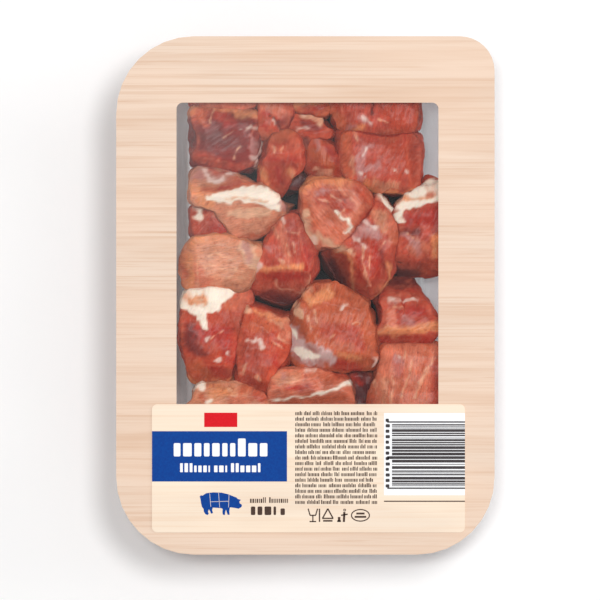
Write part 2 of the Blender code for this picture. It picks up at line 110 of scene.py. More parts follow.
# The finest grain of the meat: pale mottle, what darkens the dark mottle, and streaks
PALE_MOTTLE = (232, 168, 142)
DARK_MOTTLE = (196, 150, 150)
STREAKS = (232, 182, 158)

# Each tone of meat: sRGB colour, softness of its border, raggedness of its border, opacity, height.
TONES = {
    # maroon: the darkest red, used for painted shade in gaps, on low pieces and shaded faces, and as the
    # depth shade
    "maroon": ((84, 32, 36), 1.5, 0.5, 0.92, 0.0),
    "deep": ((112, 36, 32), 1.5, 0.6, 0.9, 0.0),
    "red": ((170, 42, 28), 1.0, 0.6, 0.9, 0.0),
    "rust": ((178, 68, 44), 1.3, 0.6, 0.9, 0.0),
    "brown": ((128, 32, 24), 1.5, 0.6, 0.9, 0.0),
    "orange": ((188, 92, 60), 1.2, 0.6, 0.9, 0.0),
    # amber: pale orange meat, also used for painted highlights along lit edges and ridges
    "amber": ((222, 148, 104), 0.9, 0.5, 0.9, 0.1),
    "pink": ((206, 118, 95), 1.3, 0.7, 0.85, 0.0),
    "rose": ((178, 72, 56), 1.3, 0.7, 0.9, 0.0),
    "pale": ((206, 143, 117), 1.0, 0.6, 0.85, 0.05),
    "beige": ((228, 188, 160), 0.6, 0.5, 0.85, 0.1),
    "lilac": ((182, 128, 128), 0.8, 1.0, 0.75, 0.1),
    "haze": ((212, 182, 182), 0.9, 1.0, 0.85, 0.1),
    "fat": ((246, 236, 222), 0.45, 0.45, 0.95, 0.2),
    "vein": ((234, 184, 158), 0.4, 0.5, 0.7, 0.1),
    # white: white fat and skin, and in a few marks below a painted highlight on the wet meat
    "white": ((240, 220, 212), 0.55, 0.7, 0.8, 0.1),
    # A crease pressed into the meat, coloured dark as painted shade in it
    "seam": ((92, 30, 30), 0.4, 0.3, 0.9, -0.8),
}

# How much each pale tone is fat, and so is spared the grain and the gain of the lean meat
PALE = {"fat": 1.0, "white": 1.0, "haze": 0.85, "lilac": 0.5, "beige": 0.4}

# Each piece of meat: its main tone, the direction of its grain in degrees, and its marks. A mark is a tone
# and a line, given as the x, the y and the half width of one point after another.
LOOKS = {
    "behind_left": ("rust", 5, [
        ("pink", -38, 69, 1, -20, 69.6, 1.4), ("vein", -36, 70.5, 0.2, -24, 71.5, 0.3),
    ]),
    "top_left": ("brown", 35, [
        ("deep", -37, 58, 2.4, -25, 55, 3), ("rust", -40, 52, 1.6, -31, 48, 1.4),
        ("amber", -43, 66, 1.2, -39, 67.8, 1.1, -33, 67.8, 1.2, -26.5, 66.6, 1.1, -18.4, 65.2, 1.3),
        ("orange", -38.2, 64.6, 2.1, -37, 62.4, 1.4),
        ("red", -31.6, 65, 1.2, -29, 63.8, 1.9, -26, 63.2, 1.1),
        ("vein", -33.4, 67.4, 0.35, -34.2, 62.8, 0.35), ("lilac", -20, 57.4, 0.6, -19, 50.6, 1),
        ("vein", -26.1, 60.3, 0.2, -30.1, 57.2, 0.2), ("vein", -23.8, 53.8, 0.3, -25.4, 50.2, 0.2),
        ("white", -23, 60.2, 0.2, -18.4, 60.6, 0.4),
        ("white", -17.1, 56.3, 0.3, -18.8, 51, 0.5, -18.6, 47.4, 0.3, -17.9, 45.4, 0.5),
        ("red", -29.4, 46.8, 0.7, -25, 47.3, 1.1, -21.8, 48, 0.8),
    ]),
    "small_orange": ("rust", 80, [
        ("pink", -14, 69, 2.5, -9, 67, 2.5), ("orange", -16.5, 62, 1.6, -13, 58.6, 2.2),
        ("red", -15, 61.4, 1.1, -13.6, 60.6, 0.9), ("red", -14.8, 66.3, 0.9, -13.2, 66, 0.7),
        # The white mark is a painted highlight, and the crease carries painted shade
        ("white", -11.6, 63.2, 0.5, -10.8, 62.6, 0.3), ("seam", -12.4, 65, 0.3, -9.6, 62, 0.3, -9, 59, 0.3),
        ("deep", -9, 62.6, 0.9, -6.5, 64.6, 1.1),
    ]),
    "behind_edge": ("orange", 15, [
        ("red", 0, 67, 0.8, 6, 68.6, 1.1), ("amber", -3, 69, 0.9, 5, 70.5, 0.8),
    ]),
    "wedge": ("rust", 78, [
        ("rust", -12, 46, 2.5, -9, 38, 2), ("orange", -12.6, 56.6, 1.4, -6, 58.6, 1.4),
        ("amber", -15.6, 47, 0.5, -14.6, 42, 0.6, -11, 37.2, 0.5),
        ("red", -12.6, 49.6, 0.9, -9, 49.4, 0.8, -3, 48.8, 1.2), ("red", -10, 46.6, 1.1, -9.4, 42, 1.2),
        ("amber", -5.4, 45.6, 0.7, -4.6, 42.8, 0.6), ("vein", -8.4, 55, 0.25, -8.6, 51.4, 0.2),
        ("vein", -11, 54, 0.2, -11.4, 51.6, 0.2),
    ]),
    # A piece low in a gap, painted dark for the shade that falls there
    "deep_maroon": ("deep", 90, [
        ("maroon", -6, 42, 3, 1, 42, 3),
    ]),
    "brown_block": ("rust", 85, [
        ("orange", 4, 52, 2.5, 9, 48, 2.5), ("red", 8, 52.6, 1.2, 12, 47, 1.4),
        ("vein", 3.9, 45.9, 0.5, 8.9, 45.2, 0.4), ("vein", 4.6, 44.6, 0.3, 9.6, 44, 0.3),
        ("lilac", 4.4, 54.6, 0.7, 4.6, 53.4, 0.5), ("deep", 1.2, 44.6, 0.8, 4, 43.6, 0.8),
    ]),
    "white_edge": ("rust", 10, [
        ("maroon", -2, 57, 2, 2, 54, 2), ("brown", 0, 63, 1.4, 4, 61, 1.6),
        ("beige", -2.2, 65.8, 0.9, 2.4, 65.2, 1, 5.4, 62.6, 0.9), ("white", -2.2, 66, 0.4, 0.6, 65.6, 0.3),
        ("white", -3.4, 61.2, 0.35, 1.2, 61.4, 0.25), ("rust", 5.6, 60, 1, 7.6, 57, 1.2),
    ]),
    "top_pair": ("rose", 82, [
        ("orange", 9.6, 67.4, 1.8, 14.6, 60.8, 1.8), ("red", 9.8, 63, 0.9, 10.6, 59.4, 1),
        ("rust", 30, 69, 3, 34, 61, 3), ("amber", 17, 60.6, 0.9, 21, 61.8, 0.8),
        # A crease down the middle, darkened along it as painted shade
        ("deep", 24.4, 70, 0.3, 24.4, 65.6, 0.3), ("seam", 24.5, 71.5, 0.3, 24.3, 66, 0.25),
        ("lilac", 20.6, 64.6, 0.6, 23.6, 62.4, 0.6), ("white", 21, 65, 0.35, 23.8, 62.6, 0.25),
        ("vein", 26.4, 63.6, 0.35, 29.6, 62.8, 0.3), ("lilac", 15.4, 61.6, 0.5, 18, 62.4, 0.4),
        ("rust", 38, 68, 1, 38.6, 61, 1), ("deep", 39.4, 70, 0.5, 39.6, 64, 0.5),
    ]),
    "marbled_square": ("rose", 62, [
        ("rust", 29, 53, 3, 35.5, 50, 4.2, 33, 46, 3),
        ("orange", 14.6, 57.6, 1.2, 14.8, 50, 1.1, 15.8, 43, 1.1), ("pale", 16.6, 49, 0.9, 17.4, 45, 0.9),
        ("rust", 38.4, 57, 1.3, 39.6, 50, 1.2, 39, 41, 1.4),
        ("lilac", 24, 54.2, 0.7, 21.4, 52.4, 1.5, 19.8, 49, 1.7, 20.2, 43, 1.6),
        ("lilac", 22.4, 45.4, 1.2, 26.8, 47.6, 0.8), ("white", 22.2, 53, 0.4, 20.6, 50.4, 0.4),
        ("white", 20, 44.8, 0.3, 21.6, 43, 0.3), ("vein", 17, 58, 0.25, 19.4, 55.4, 0.25),
        ("pale", 25, 41.2, 1, 29.4, 40.6, 1, 34, 40.6, 0.8),
        # A painted highlight along the lower edge
        ("amber", 21.5, 41, 0.7, 26.1, 38.9, 0.7, 35.1, 37.5, 0.7, 39.4, 39, 0.7),
        ("white", 32.4, 45.4, 0.3, 33.2, 45, 0.3), ("white", 36.2, 45.2, 0.3, 37, 44.8, 0.3),
        ("red", 20, 57.8, 0.6, 28, 57, 0.5, 37, 57.6, 0.6),
    ]),
    "fat_ridge": ("pale", 12, [
        ("beige", -27, 30.4, 1.4, -19, 30, 1.8, -14, 30.6, 1.2),
        ("orange", -24, 21.6, 0.7, -17, 23, 0.9, -10, 28.4, 0.7),
        ("amber", -40, 39, 1.6, -37.6, 36, 2, -34.6, 34, 1.4),
        ("lilac", -37.6, 43.6, 2.4, -33, 43.4, 2.2, -27, 42.8, 1.4), ("rose", -34, 45, 0.8, -29, 43.6, 0.9),
        ("orange", -37, 38.2, 1, -30, 38.9, 1.4, -23, 40.4, 1.5, -18, 40.4, 1.2),
        ("red", -31, 39, 0.6, -24, 40.6, 0.7),
        # White streaks of skin, widening into a painted highlight
        ("white", -37.2, 45.2, 0.3, -34.6, 41.6, 0.9, -31.4, 41.8, 0.7, -26, 43, 0.4),
        ("fat", -34.4, 35.6, 1, -28.5, 35.8, 2.1, -23, 36.6, 2.7, -17.5, 36.6, 2.8, -12.5, 34.2, 2.3,
         -9.4, 32.4, 1.5),
        ("lilac", -9, 33.8, 0.8, -7.4, 31.6, 1), ("beige", -29, 35, 0.3, -22, 35.4, 0.3, -14, 34.4, 0.3),
        # A painted highlight
        ("white", -12.3, 33.8, 0.5, -11.6, 33.4, 0.4),
    ]),
    "under_ridge": ("rust", 40, [
        ("rust", -38, 26, 2.4, -33, 24, 2), ("brown", -38, 33, 2, -34, 31, 2),
        ("red", -33.6, 24.4, 1, -27, 21.8, 1.1), ("vein", -34.7, 31, 0.4, -33.6, 28, 0.3),
        ("fat", -38.6, 30.4, 1, -38.8, 27.8, 1.1),
    ]),
    "ribbed_slab": ("pale", 8, [
        ("pink", -40, 8, 3, -36, 5, 2), ("amber", -42.6, 14, 1.6, -42, 5, 1.3),
        ("rust", -43.6, 15, 0.5, -43.4, 5, 0.5), ("beige", -22, 17.5, 2.6, -18.8, 12, 2),
        ("lilac", -22.6, 18, 1.4, -20, 13.5, 1.4),
        ("amber", -41.5, 17.4, 0.5, -36.9, 20.6, 0.5, -30, 21, 0.5, -16.8, 17.2, 0.5),
        ("vein", -35.6, 14.2, 0.3, -33.3, 15.6, 0.25, -30.1, 14.2, 0.3, -28.3, 13.8, 0.2),
        ("vein", -34.7, 11.5, 0.25, -31, 9.7, 0.3, -22.9, 8.4, 0.25),
        ("vein", -32.4, 4.3, 0.3, -30.1, 6.1, 0.35, -22.9, 6.3, 0.25),
        ("vein", -28.6, 12.2, 0.25, -25.4, 13, 0.25), ("vein", -27, 10.6, 0.25, -24.8, 9.2, 0.25),
        ("vein", -39.6, 12, 0.4, -39.4, 7.5, 0.45, -39.2, 3.8, 0.35),
        ("vein", -36.4, 10.6, 0.25, -35.4, 6.4, 0.25), ("vein", -24, 17, 0.25, -21.4, 13.8, 0.3),
    ]),
    "ridged_red": ("rose", 85, [
        # The second red mark and the deep and maroon marks below it are painted shade on the face under the
        # ridge
        ("red", 0, 17, 1.2, 0.6, 9, 1.6), ("red", -14, 6.2, 1.6, -3, 6, 2),
        ("deep", -15, 1.8, 2.2, -7, 0.2, 2.4, -1, -1, 1.6), ("maroon", -10, -1.6, 0.9, -3, -1.8, 0.9),
        ("orange", -16, 22.6, 1, -14, 19.6, 0.9), ("pink", -9, 26, 1.2, -8, 20, 1.6, -7, 13, 1.4),
        ("pale", -10.6, 24, 0.5, -10, 21.4, 0.6), ("vein", -6.6, 23.4, 0.3, -2.4, 22.6, 0.3),
        ("vein", -6.8, 18, 0.35, -6, 14.4, 0.3), ("vein", -9.6, 13, 0.6, -8.4, 12, 0.5),
        ("vein", -4, 19, 0.3, -3.4, 15, 0.3), ("lilac", -13.4, 17.6, 0.6, -12.6, 15.6, 0.5),
        # A painted highlight
        ("white", -8.1, 27.6, 0.5, -7.8, 27.2, 0.4),
        # A painted highlight along the ridge
        ("amber", -15.6, 9.3, 0.7, -9.4, 9.9, 1.1, -2.2, 10.3, 1.2),
        ("vein", -10.7, 5.7, 0.25, -8.5, 4.4, 0.35, -2.1, 1.6, 0.3, -0.6, 3.2, 0.45, 1.5, 7.2, 0.35),
        ("white", -14.8, 11.3, 0.4, -17, 8.8, 0.6, -17.6, 7.4, 0.5),
    ]),
    "bright_block": ("pink", 130, [
        ("amber", -0.4, 39, 1.6, 5, 41, 1.6, 16, 41, 1.4),
        ("orange", 0.2, 34, 1.4, 1.6, 29, 1.8, 4, 25.6, 1.4), ("rose", 7, 35.5, 3.2, 14, 33, 3),
        ("rust", 6.4, 36.4, 1, 15, 31.6, 1.2), ("rust", 19, 38.6, 1.8, 22, 34.4, 1.6),
        ("orange", 9, 28, 1.8, 11.6, 22.8, 1.6), ("lilac", 4, 37.4, 0.6, 8, 38, 0.7),
        ("vein", 5, 35.4, 0.2, 9, 33.4, 0.3), ("vein", 9.4, 36.2, 0.25, 12.4, 34.4, 0.25),
        ("vein", 12, 38.4, 0.25, 14.8, 36.8, 0.25), ("vein", 16.2, 36, 0.25, 18.6, 33.2, 0.3),
        ("fat", 11.2, 31, 0.35, 13, 28.2, 0.5, 15.4, 27.8, 0.9, 15.8, 25.4, 0.7, 14.4, 22.6, 0.35),
        ("vein", 13.6, 31.6, 0.4, 12.2, 29.2, 0.3),
        ("beige", 0.2, 31, 0.5, 1.6, 26, 0.7, 2.6, 23.3, 0.6, 3.9, 20.6, 0.9, 5.3, 22.4, 0.6,
         7.1, 20.8, 0.8, 11.4, 18.8, 0.7),
        ("white", 3.6, 21.2, 0.4, 4.2, 20.2, 0.3), ("red", 24.6, 34.2, 0.7, 21.5, 29.6, 1.1, 16.4, 22.8, 1),
    ]),
    "marbled_long": ("rose", 72, [
        # The deep and maroon marks are painted shade on the left facet
        ("deep", 11, 14.6, 1.8, 15.4, 8, 2.4, 16.4, 2.6, 2),
        ("maroon", 9.4, 12, 1.4, 13.4, 5.4, 1.8, 15.6, 0.8, 1.4),
        ("rust", 12.6, 16, 1, 16.6, 10.6, 1.1, 17.4, 4, 0.9),
        ("amber", 12, 17.6, 0.4, 17.3, 13, 0.6, 18.4, 7, 0.45, 19.1, 0.9, 0.4),
        ("beige", 12.6, 18.2, 0.6, 15.4, 16.6, 0.9, 17.8, 14, 0.5), ("haze", 20.6, 24, 0.8, 24.6, 23.4, 1.2),
        ("pale", 27.4, 29, 2.4, 28.4, 24, 2), ("pink", 31, 26, 1.6, 31.6, 20, 1.8),
        ("orange", 32.2, 22.6, 0.9, 33.4, 18.6, 0.9), ("lilac", 19, 22, 1.6, 22.6, 24.6, 2.4, 25, 21.6, 2.2),
        ("white", 18.6, 20.2, 0.3, 20.2, 18.8, 0.6, 21.4, 17, 0.4),
        ("white", 22.4, 26, 0.3, 25.4, 24.4, 0.4), ("red", 24.6, 18.6, 0.9, 26.4, 13, 1.2, 25.4, 7.4, 0.9),
        ("red", 19.6, 14, 0.7, 20.4, 8, 0.8, 21, 2, 0.8), ("deep", 27.4, 16, 0.8, 28, 11, 0.9),
        ("vein", 20.6, 17.2, 0.3, 22, 9.8, 0.35, 23.4, 3.6, 0.3), ("vein", 23.6, 14, 0.2, 24, 9.6, 0.25),
        ("vein", 28.6, 20, 0.3, 27, 16.2, 0.25),
        ("amber", 29.6, 12, 0.5, 29.5, 7, 0.6, 27, 3.5, 0.5, 23.6, 0.2, 0.4),
        ("fat", 26, 37, 0.8, 28.6, 34, 1, 31.4, 31, 0.8), ("fat", 31.2, 31.6, 0.8, 33.4, 28.6, 0.8),
    ]),
    "fat_banded": ("rose", 60, [
        ("maroon", 32, 9, 2, 40, 9.6, 2, 44, 12, 1.4), ("rust", 44, 10.6, 2.2, 50, 12, 2.6),
        ("amber", 47.6, 21, 1.5, 47, 15, 1.4), ("red", 37.4, 27.6, 2.2, 42, 27.6, 3, 48, 28.6, 3),
        ("deep", 36, 22.6, 1.2, 41, 23, 1.2), ("pink", 40, 18, 2.6, 43.6, 17, 2),
        ("lilac", 36, 21, 1, 39.6, 19.2, 1.4, 41.4, 16, 1), ("vein", 37.4, 22, 0.3, 40.4, 20, 0.35),
        ("fat", 35.2, 32.6, 2.4, 41, 35.4, 3.2, 47, 37.4, 3.8, 53, 38.6, 4),
        ("amber", 33.4, 33.4, 0.4, 38, 35.2, 0.6, 48, 36.4, 0.4), ("orange", 44.6, 37, 1, 46.6, 37, 1.1),
        ("fat", 34.6, 29.6, 0.9, 36, 27.4, 0.6),
    ]),
    "trapezoid": ("rose", 30, [
        ("deep", 31, 4.4, 3, 38, 3.4, 3), ("red", 32, 0.4, 0.6, 39, 0.8, 0.6),
        ("pink", 31, -6, 2, 30.6, -11, 2), ("red", 35, -5, 1.6, 41, -6, 2.2),
        ("lilac", 35.6, -9, 0.9, 38.6, -10, 0.9),
        ("amber", 28.4, -12.6, 1.2, 34.2, -13, 1.5, 46, -11.4, 1.6),
        ("white", 30.6, -2.2, 0.3, 35.1, -2.5, 0.35, 40.1, -2.2, 0.35),
        ("vein", 32.4, -3.4, 0.25, 35.6, -6, 0.2), ("red", 29.4, -16, 0.9, 36.5, -16.8, 1, 45.5, -15, 0.9),
    ]),
    "orange_face": ("orange", 70, [
        ("rust", 8, -13, 3, 16, -14, 3.4), ("rose", 17, -13, 1.8, 20, -18, 2),
        ("amber", 2, -2, 2, 8, 0.6, 2), ("beige", -2.6, -3.6, 1, -1.4, -7.6, 0.9),
        ("red", 11, -24, 1.4, 19, -25.6, 1.4), ("vein", 0.8, -7, 0.4, 2.1, -11.6, 0.3),
        ("vein", 3.6, -6, 0.3, 4.6, -9.6, 0.25), ("white", 13.3, -5.4, 0.35, 14.6, -3.8, 0.4),
        ("vein", 17.2, -10.6, 0.3, 18.6, -9.6, 0.3, 19.6, -10.4, 0.25),
        ("vein", 8, -16.4, 0.25, 10.6, -14.4, 0.25), ("vein", -1, -1.6, 0.5, 3, 2, 0.4),
        ("lilac", -3.6, -13, 2, -1, -20, 3.6, 5.6, -21.8, 3.4, 8.6, -23, 1.8),
        ("haze", -4.4, -12, 1, -3, -18, 2.6, 4, -21, 3, 8.6, -22.2, 1.8),
        ("brown", 1, -18, 0.4, 4.4, -19.4, 0.5), ("fat", -3.2, -13.2, 0.4, -2, -15.4, 0.5),
        ("fat", -2.8, -19, 1, 1.2, -20.8, 1.4, 4.6, -22.2, 0.8), ("white", 24, -22.4, 0.4, 23.6, -23.6, 0.3),
        ("amber", 12, -21.2, 0.6, 20, -22.4, 0.6),
    ]),
    "left_dark": ("rust", 60, [
        ("red", -40, -14, 3, -30, -14, 3.4, -27, -22, 3),
        ("deep", -42, -12, 1.8, -41.4, -18, 2.4, -37, -21, 1.4), ("orange", -28, -3.4, 2, -23, -1.6, 2.2),
        ("rust", -27, -9, 2.2, -23, -12, 1.6), ("red", -37, -27, 2.4, -31, -27, 2.4),
        ("orange", -40, -25, 2.2, -36, -28.6, 1.6),
        ("amber", -43, -27, 0.4, -39, -31, 0.6, -31, -30.4, 0.5, -27.6, -28.8, 0.4),
        ("fat", -43.6, -2, 3, -39, -2.6, 5.2, -34, -2, 4, -30, 0, 2.4, -26, 1.2, 1),
        ("fat", -38.4, -7, 2.4, -36.6, -11.4, 0.6), ("amber", -41.6, -1.8, 1.6, -37.4, -1.2, 1.8),
        ("beige", -40, -1.6, 0.6, -38.4, -1.6, 0.6), ("white", -36.2, -15.6, 0.5, -35.8, -15, 0.4),
        # The white marks at x -33 and -28.5 are painted highlights, and the crease carries painted shade
        ("vein", -30.1, -12.9, 0.25, -34.7, -15.8, 0.25), ("white", -33, -24, 0.5, -31, -23.2, 0.35),
        ("white", -28.5, -21.6, 0.45, -28.2, -21, 0.3), ("seam", -24.6, -9, 0.2, -24.8, -18, 0.2),
    ]),
    "centre_left": ("rust", 75, [
        ("beige", -22, -5, 1.1, -20.6, -6.6, 1), ("orange", -19, -11, 2.2, -14.6, -11, 2.4),
        ("pink", -9, -9, 2, -7.4, -14, 2), ("pale", -14, -7.4, 1, -8, -10, 1.2),
        ("rose", -20, -24, 2.6, -13, -23, 2.4), ("rose", -22, -29, 1.6, -20, -32, 1.6),
        ("orange", -12, -30, 1.4, -11, -33, 1.2),
        ("amber", -18.4, -5.8, 0.6, -14.8, -7.6, 0.6, -9, -9.6, 0.6),
        ("vein", -12.2, -9.4, 0.25, -7, -13.6, 0.3), ("vein", -11.4, -12.6, 0.2, -7.4, -17.2, 0.3),
        ("vein", -11.8, -16, 0.2, -8.4, -20, 0.25),
        ("white", -21.4, -16.8, 0.3, -19.4, -17.4, 0.3, -17, -16.6, 0.7, -15.8, -18.4, 0.5),
        ("vein", -21.8, -26, 0.5, -22.6, -28, 0.5), ("vein", -18, -29.8, 0.5, -16.6, -31.4, 0.4),
        ("red", -10.6, -22, 0.8, -10.4, -29, 0.8),
    ]),
    "pale_low": ("pale", 15, [
        ("amber", -34, -36, 2, -27, -35, 1.6), ("orange", -38, -36.4, 0.9, -37, -37.4, 0.9),
        ("pink", -26, -39, 2.4, -21, -38, 2), ("rust", -18, -36, 1.8, -15, -37, 1.6),
        ("orange", -22.6, -34.4, 1.2, -20, -33.6, 1), ("vein", -29, -33.6, 0.4, -26, -35, 0.4),
        ("vein", -26.4, -36.4, 0.4, -24, -35.4, 0.3), ("fat", -40, -33.4, 1, -37, -33.4, 0.9),
        ("fat", -35.6, -38.8, 0.9, -34, -38.4, 0.7),
    ]),
    "white_line": ("pink", 15, [
        ("pale", -9, -31, 2, -3, -30, 1.8), ("rose", -3, -34, 1.2, 2, -33, 1.2),
        ("red", -5.6, -33.8, 0.7, -3, -33.4, 0.8), ("orange", 4, -30.4, 1.3, 11, -31, 1.4),
        ("rust", 11, -29.6, 1.6, 15, -31, 1.4), ("orange", -10, -39.4, 1.2, 4, -38.8, 1.6, 14, -36.8, 1.4),
        ("lilac", -8, -29.6, 0.6, -6, -31, 0.6), ("white", 0.2, -28.4, 0.6, 3.6, -28.2, 0.3),
        ("vein", -6, -31.8, 0.4, -1, -31, 0.3),
        ("fat", -11.6, -37.8, 0.25, -5.3, -37.4, 0.35, 0, -36.6, 0.35, 6, -35.6, 0.5, 11, -33.9, 0.6,
         14.6, -33, 0.8),
    ]),
    "deep_slot": ("deep", 90, [
        ("maroon", 18, -41, 2.4, 21, -34, 2), ("red", 17, -29, 1, 20, -32, 0.8),
    ]),
    "striped": ("pink", 82, [
        ("rust", 26, -24, 1.4, 24, -31, 1.4, 23.6, -40, 1.2),
        ("orange", 28, -19.6, 0.8, 26, -27, 1, 24, -36, 0.9), ("rose", 46.6, -25, 1.6, 47.6, -38, 2.6),
        ("orange", 43.8, -19.6, 0.9, 43.2, -25, 0.9, 41, -30, 0.7),
        ("orange", 34.6, -30, 0.7, 33.6, -38, 0.9), ("rose", 33, -23, 1.4, 34, -28, 1.2),
        ("pale", 29, -30, 0.9, 28, -39, 1), ("vein", 31.5, -29, 0.25, 31, -38.8, 0.5),
        ("vein", 38.7, -23.6, 0.25, 36.8, -32, 0.4, 35.1, -37, 0.45),
        ("vein", 46.2, -22.4, 0.3, 43.2, -28.2, 0.4, 40.1, -37, 0.35),
        ("lilac", 33, -22, 0.7, 34, -24.4, 0.6), ("vein", 36, -18.8, 0.2, 35.4, -23, 0.25),
        ("vein", 26.4, -31, 0.25, 25.8, -35, 0.25), ("white", 33.6, -21.6, 0.4, 34, -22.2, 0.3),
    ]),
    "hidden_1": ("rust", 30, [
        ("fat", -42, -66, 0.9, -34, -62, 1.5, -26, -60, 0.7), ("rose", -38, -56, 2.4, -28, -55, 2.6),
        ("vein", -36, -69, 0.3, -28, -66, 0.3),
    ]),
    "hidden_2": ("rose", 70, [
        ("orange", -18, -70, 2.2, -8, -68, 2), ("vein", -17, -64, 0.4, -8, -58, 0.4),
        ("pale", -16, -55, 1.2, -7, -53.5, 1.3),
    ]),
    "hidden_3": ("pink", 20, [
        ("fat", 1, -70, 1, 9, -67, 1.6, 19, -69, 0.8), ("red", 4, -58, 2, 15, -56, 2.2),
        ("vein", 5, -63, 0.3, 17, -61, 0.4),
    ]),
    "hidden_4": ("rust", 60, [
        ("lilac", 30, -68, 1.8, 38, -62, 2), ("fat", 44, -70, 0.7, 46, -60, 1.2, 47, -52, 0.6),
        ("red", 28, -54, 2.2, 38, -52, 2.4),
    ]),
}

# Knife cuts that flatten a side of a piece's top: a point on the cut's upper edge as x, y and z, the
# direction in degrees in which it falls, and how steep it is
CUTS = {
    "ridged_red": [(-9, 9.6, 35.6, 266, 0.9), (0.6, 16, 35, 12, 0.8)],
    "marbled_long": [(17.6, 12.6, 35.2, 215, 1.3), (29.5, 12, 34.6, 325, 0.9)],
    "fat_banded": [(41, 12.6, 34.5, 262, 1.4), (44, 16, 35, 310, 0.5)],
    "marbled_square": [(30, 39.6, 35.6, 262, 1.2), (38, 48, 36.4, 2, 0.7), (15.6, 50, 36, 184, 0.6)],
    "trapezoid": [(35, -0.6, 34.4, 95, 1.2), (37, -14.4, 34.2, 266, 0.9)],
    "bright_block": [(20.6, 29.4, 36.6, 320, 1.2), (5, 22.4, 36, 235, 0.8)],
    "wedge": [(-9, 55.2, 35.8, 85, 0.4), (-8.6, 48.6, 35.8, 262, 0.55), (-5.2, 45, 35.4, 330, 0.9)],
    "fat_ridge": [(-21, 32.6, 36.6, 262, 0.4), (-28, 37.2, 37, 95, 0.5), (-11, 30, 35.4, 330, 0.8)],
    "top_left": [(-30, 64.6, 35.4, 86, 0.6), (-24, 47.8, 35, 262, 1.1), (-19.6, 54, 35.2, 352, 0.9)],
    "left_dark": [(-36, -25, 34.6, 262, 0.8), (-24.6, -10, 34.8, 15, 0.7)],
    "centre_left": [(-14.6, -8.6, 34, 62, 0.45), (-18, -30.6, 34, 250, 0.8)],
    "orange_face": [(9, -22.6, 36.4, 268, 0.9), (-1.6, -12, 36, 196, 0.8), (8, -0.4, 36.6, 80, 0.5)],
    "top_pair": [(24, 61.6, 35.2, 262, 0.8), (13, 66, 35, 205, 0.5)],
    "brown_block": [(6, 46.6, 33.2, 262, 0.7), (3.6, 52, 33, 190, 0.7)],
    "white_line": [(2, -36.6, 34.6, 268, 0.6), (14, -32, 34.6, 40, 0.8)],
    "striped": [(26.4, -28, 35.6, 186, 0.8), (38, -19.6, 36, 88, 0.9)],
    "pale_low": [(-28, -34.6, 34.8, 85, 0.8)],
    "ribbed_slab": [(-41.6, 11, 35.8, 182, 0.7), (-31, 4.4, 36, 268, 0.8), (-20, 12, 36.2, 330, 0.4)],
    "small_orange": [(-12, 59.6, 34.2, 262, 0.7)],
    "white_edge": [(0, 64.2, 32.6, 90, 0.6)],
    "under_ridge": [(-36, 30, 30.8, 120, 0.5)],
}

# Gaps between pieces that stay open, as x, y and radius
OPEN_GAPS = ((6.6, 9.5, 5.0), (-13.0, -4.5, 5.5), (-5.1, 34.6, 3.4), (31.6, 35.6, 3.4), (25.4, -7.0, 3.0),
             (-20.5, 43.2, 2.8), (-43.0, -35.0, 3.0), (8.8, 63.2, 1.8))

# Clear parts and pad: index of refraction, opacity and sRGB colours
PLASTIC_IOR = 1.45
FILM_COLOUR = (200, 204, 208)
FILM_ALPHA = 0.014
TRAY_ALPHA = 0.17
# The tray runs from painted shade and a painted reflection of the meat at the left to plain pale white at the
# right
TRAY_LEFT_SHADE_AND_REFLECTION = (196, 150, 142)
TRAY_RIGHT = (240, 246, 255)
TRAY_STREAK = (222, 224, 230)
PAD_HIGH = (52, 55, 60)
PAD_LOW = (34, 37, 41)

# Floor: its colour, and its half size in metres
FLOOR_COLOUR = (255, 255, 255)
FLOOR_HALF_SIZE = 1.5

# Printed wood grain: how patches, bands and fine lines are stretched, and the light tone, the dark tone and
# the contrast of each print
GRAIN_PATCHES = (14.0, 45.0, 1.0)
GRAIN_BANDS = (7.0, 110.0, 1.0)
GRAIN_LINES = (9.0, 1000.0, 1.0)
PRINT_SHADOW = (228, 208, 190)
SHEET_LOOK = ((234, 207, 185), (210, 169, 137), 0.85)
LABEL_LOOK = ((247, 229, 207), (236, 204, 175), 0.75)

# Ink: the thickness of its plates and its colours
INK = 0.03
INKS = {
    "blue": (0, 60, 142),
    "red": (212, 16, 28),
    "brown": (72, 54, 46),
    "white": (244, 246, 250),
    "pale": (226, 214, 206),
    "black": (62, 57, 59),
}

# Label print, with x and y in millimetres and each rectangle as left, bottom, right, top
BLUE_BLOCK = (-55.45, -67.28, -6.65, -49.09)
RED_TAG = (-36.58, -47.57, -24.62, -42.4)
TITLE_WORDS = ((-47.6, -58.2, -13.6, -53.4),)
SECOND_WORDS = ((-45.3, -63.9, -34.5, -61.5), (-33.0, -63.9, -28.3, -61.5), (-26.9, -63.9, -15.7, -61.5))
WEIGHT_WORDS = ((-20.0, -75.0, -14.3, -73.5), (-13.1, -75.0, -6.3, -73.5))
WEIGHT_FIGURES = ((-19.7, -79.4, -10.6, -76.3), (-9.0, -79.4, -6.4, -77.0))
RULE = (28.41, -74.62, 57.69, -74.2)

# Lettering as blocks: width, gap, share of taller blocks and corner radius
TITLE_BLOCKS = (2.5, 0.95, 0.3, 0.45)
SECOND_BLOCKS = (1.25, 0.6, 0.25, 0.2)
WEIGHT_BLOCKS = (0.45, 0.3, 0.25, 0.0)
FIGURE_BLOCKS = (2.1, 0.8, 0.0, 0.4)
SMALL_BLOCKS = (0.34, 0.19, 0.25, 0.0)

# Small print: lines, their height, the share of it that low blocks fill, and lengths and gaps of words
TEXT_BLOCK = (-3.65, -75.9, 25.96, -41.8)
TEXT_LINES = 17
TEXT_HEIGHT = 1.5
LOW_SHARE = 0.72
WORD_LENGTHS = (1.5, 5.5)
WORD_GAPS = (0.45, 0.7)
LEAST_WORD = 0.8

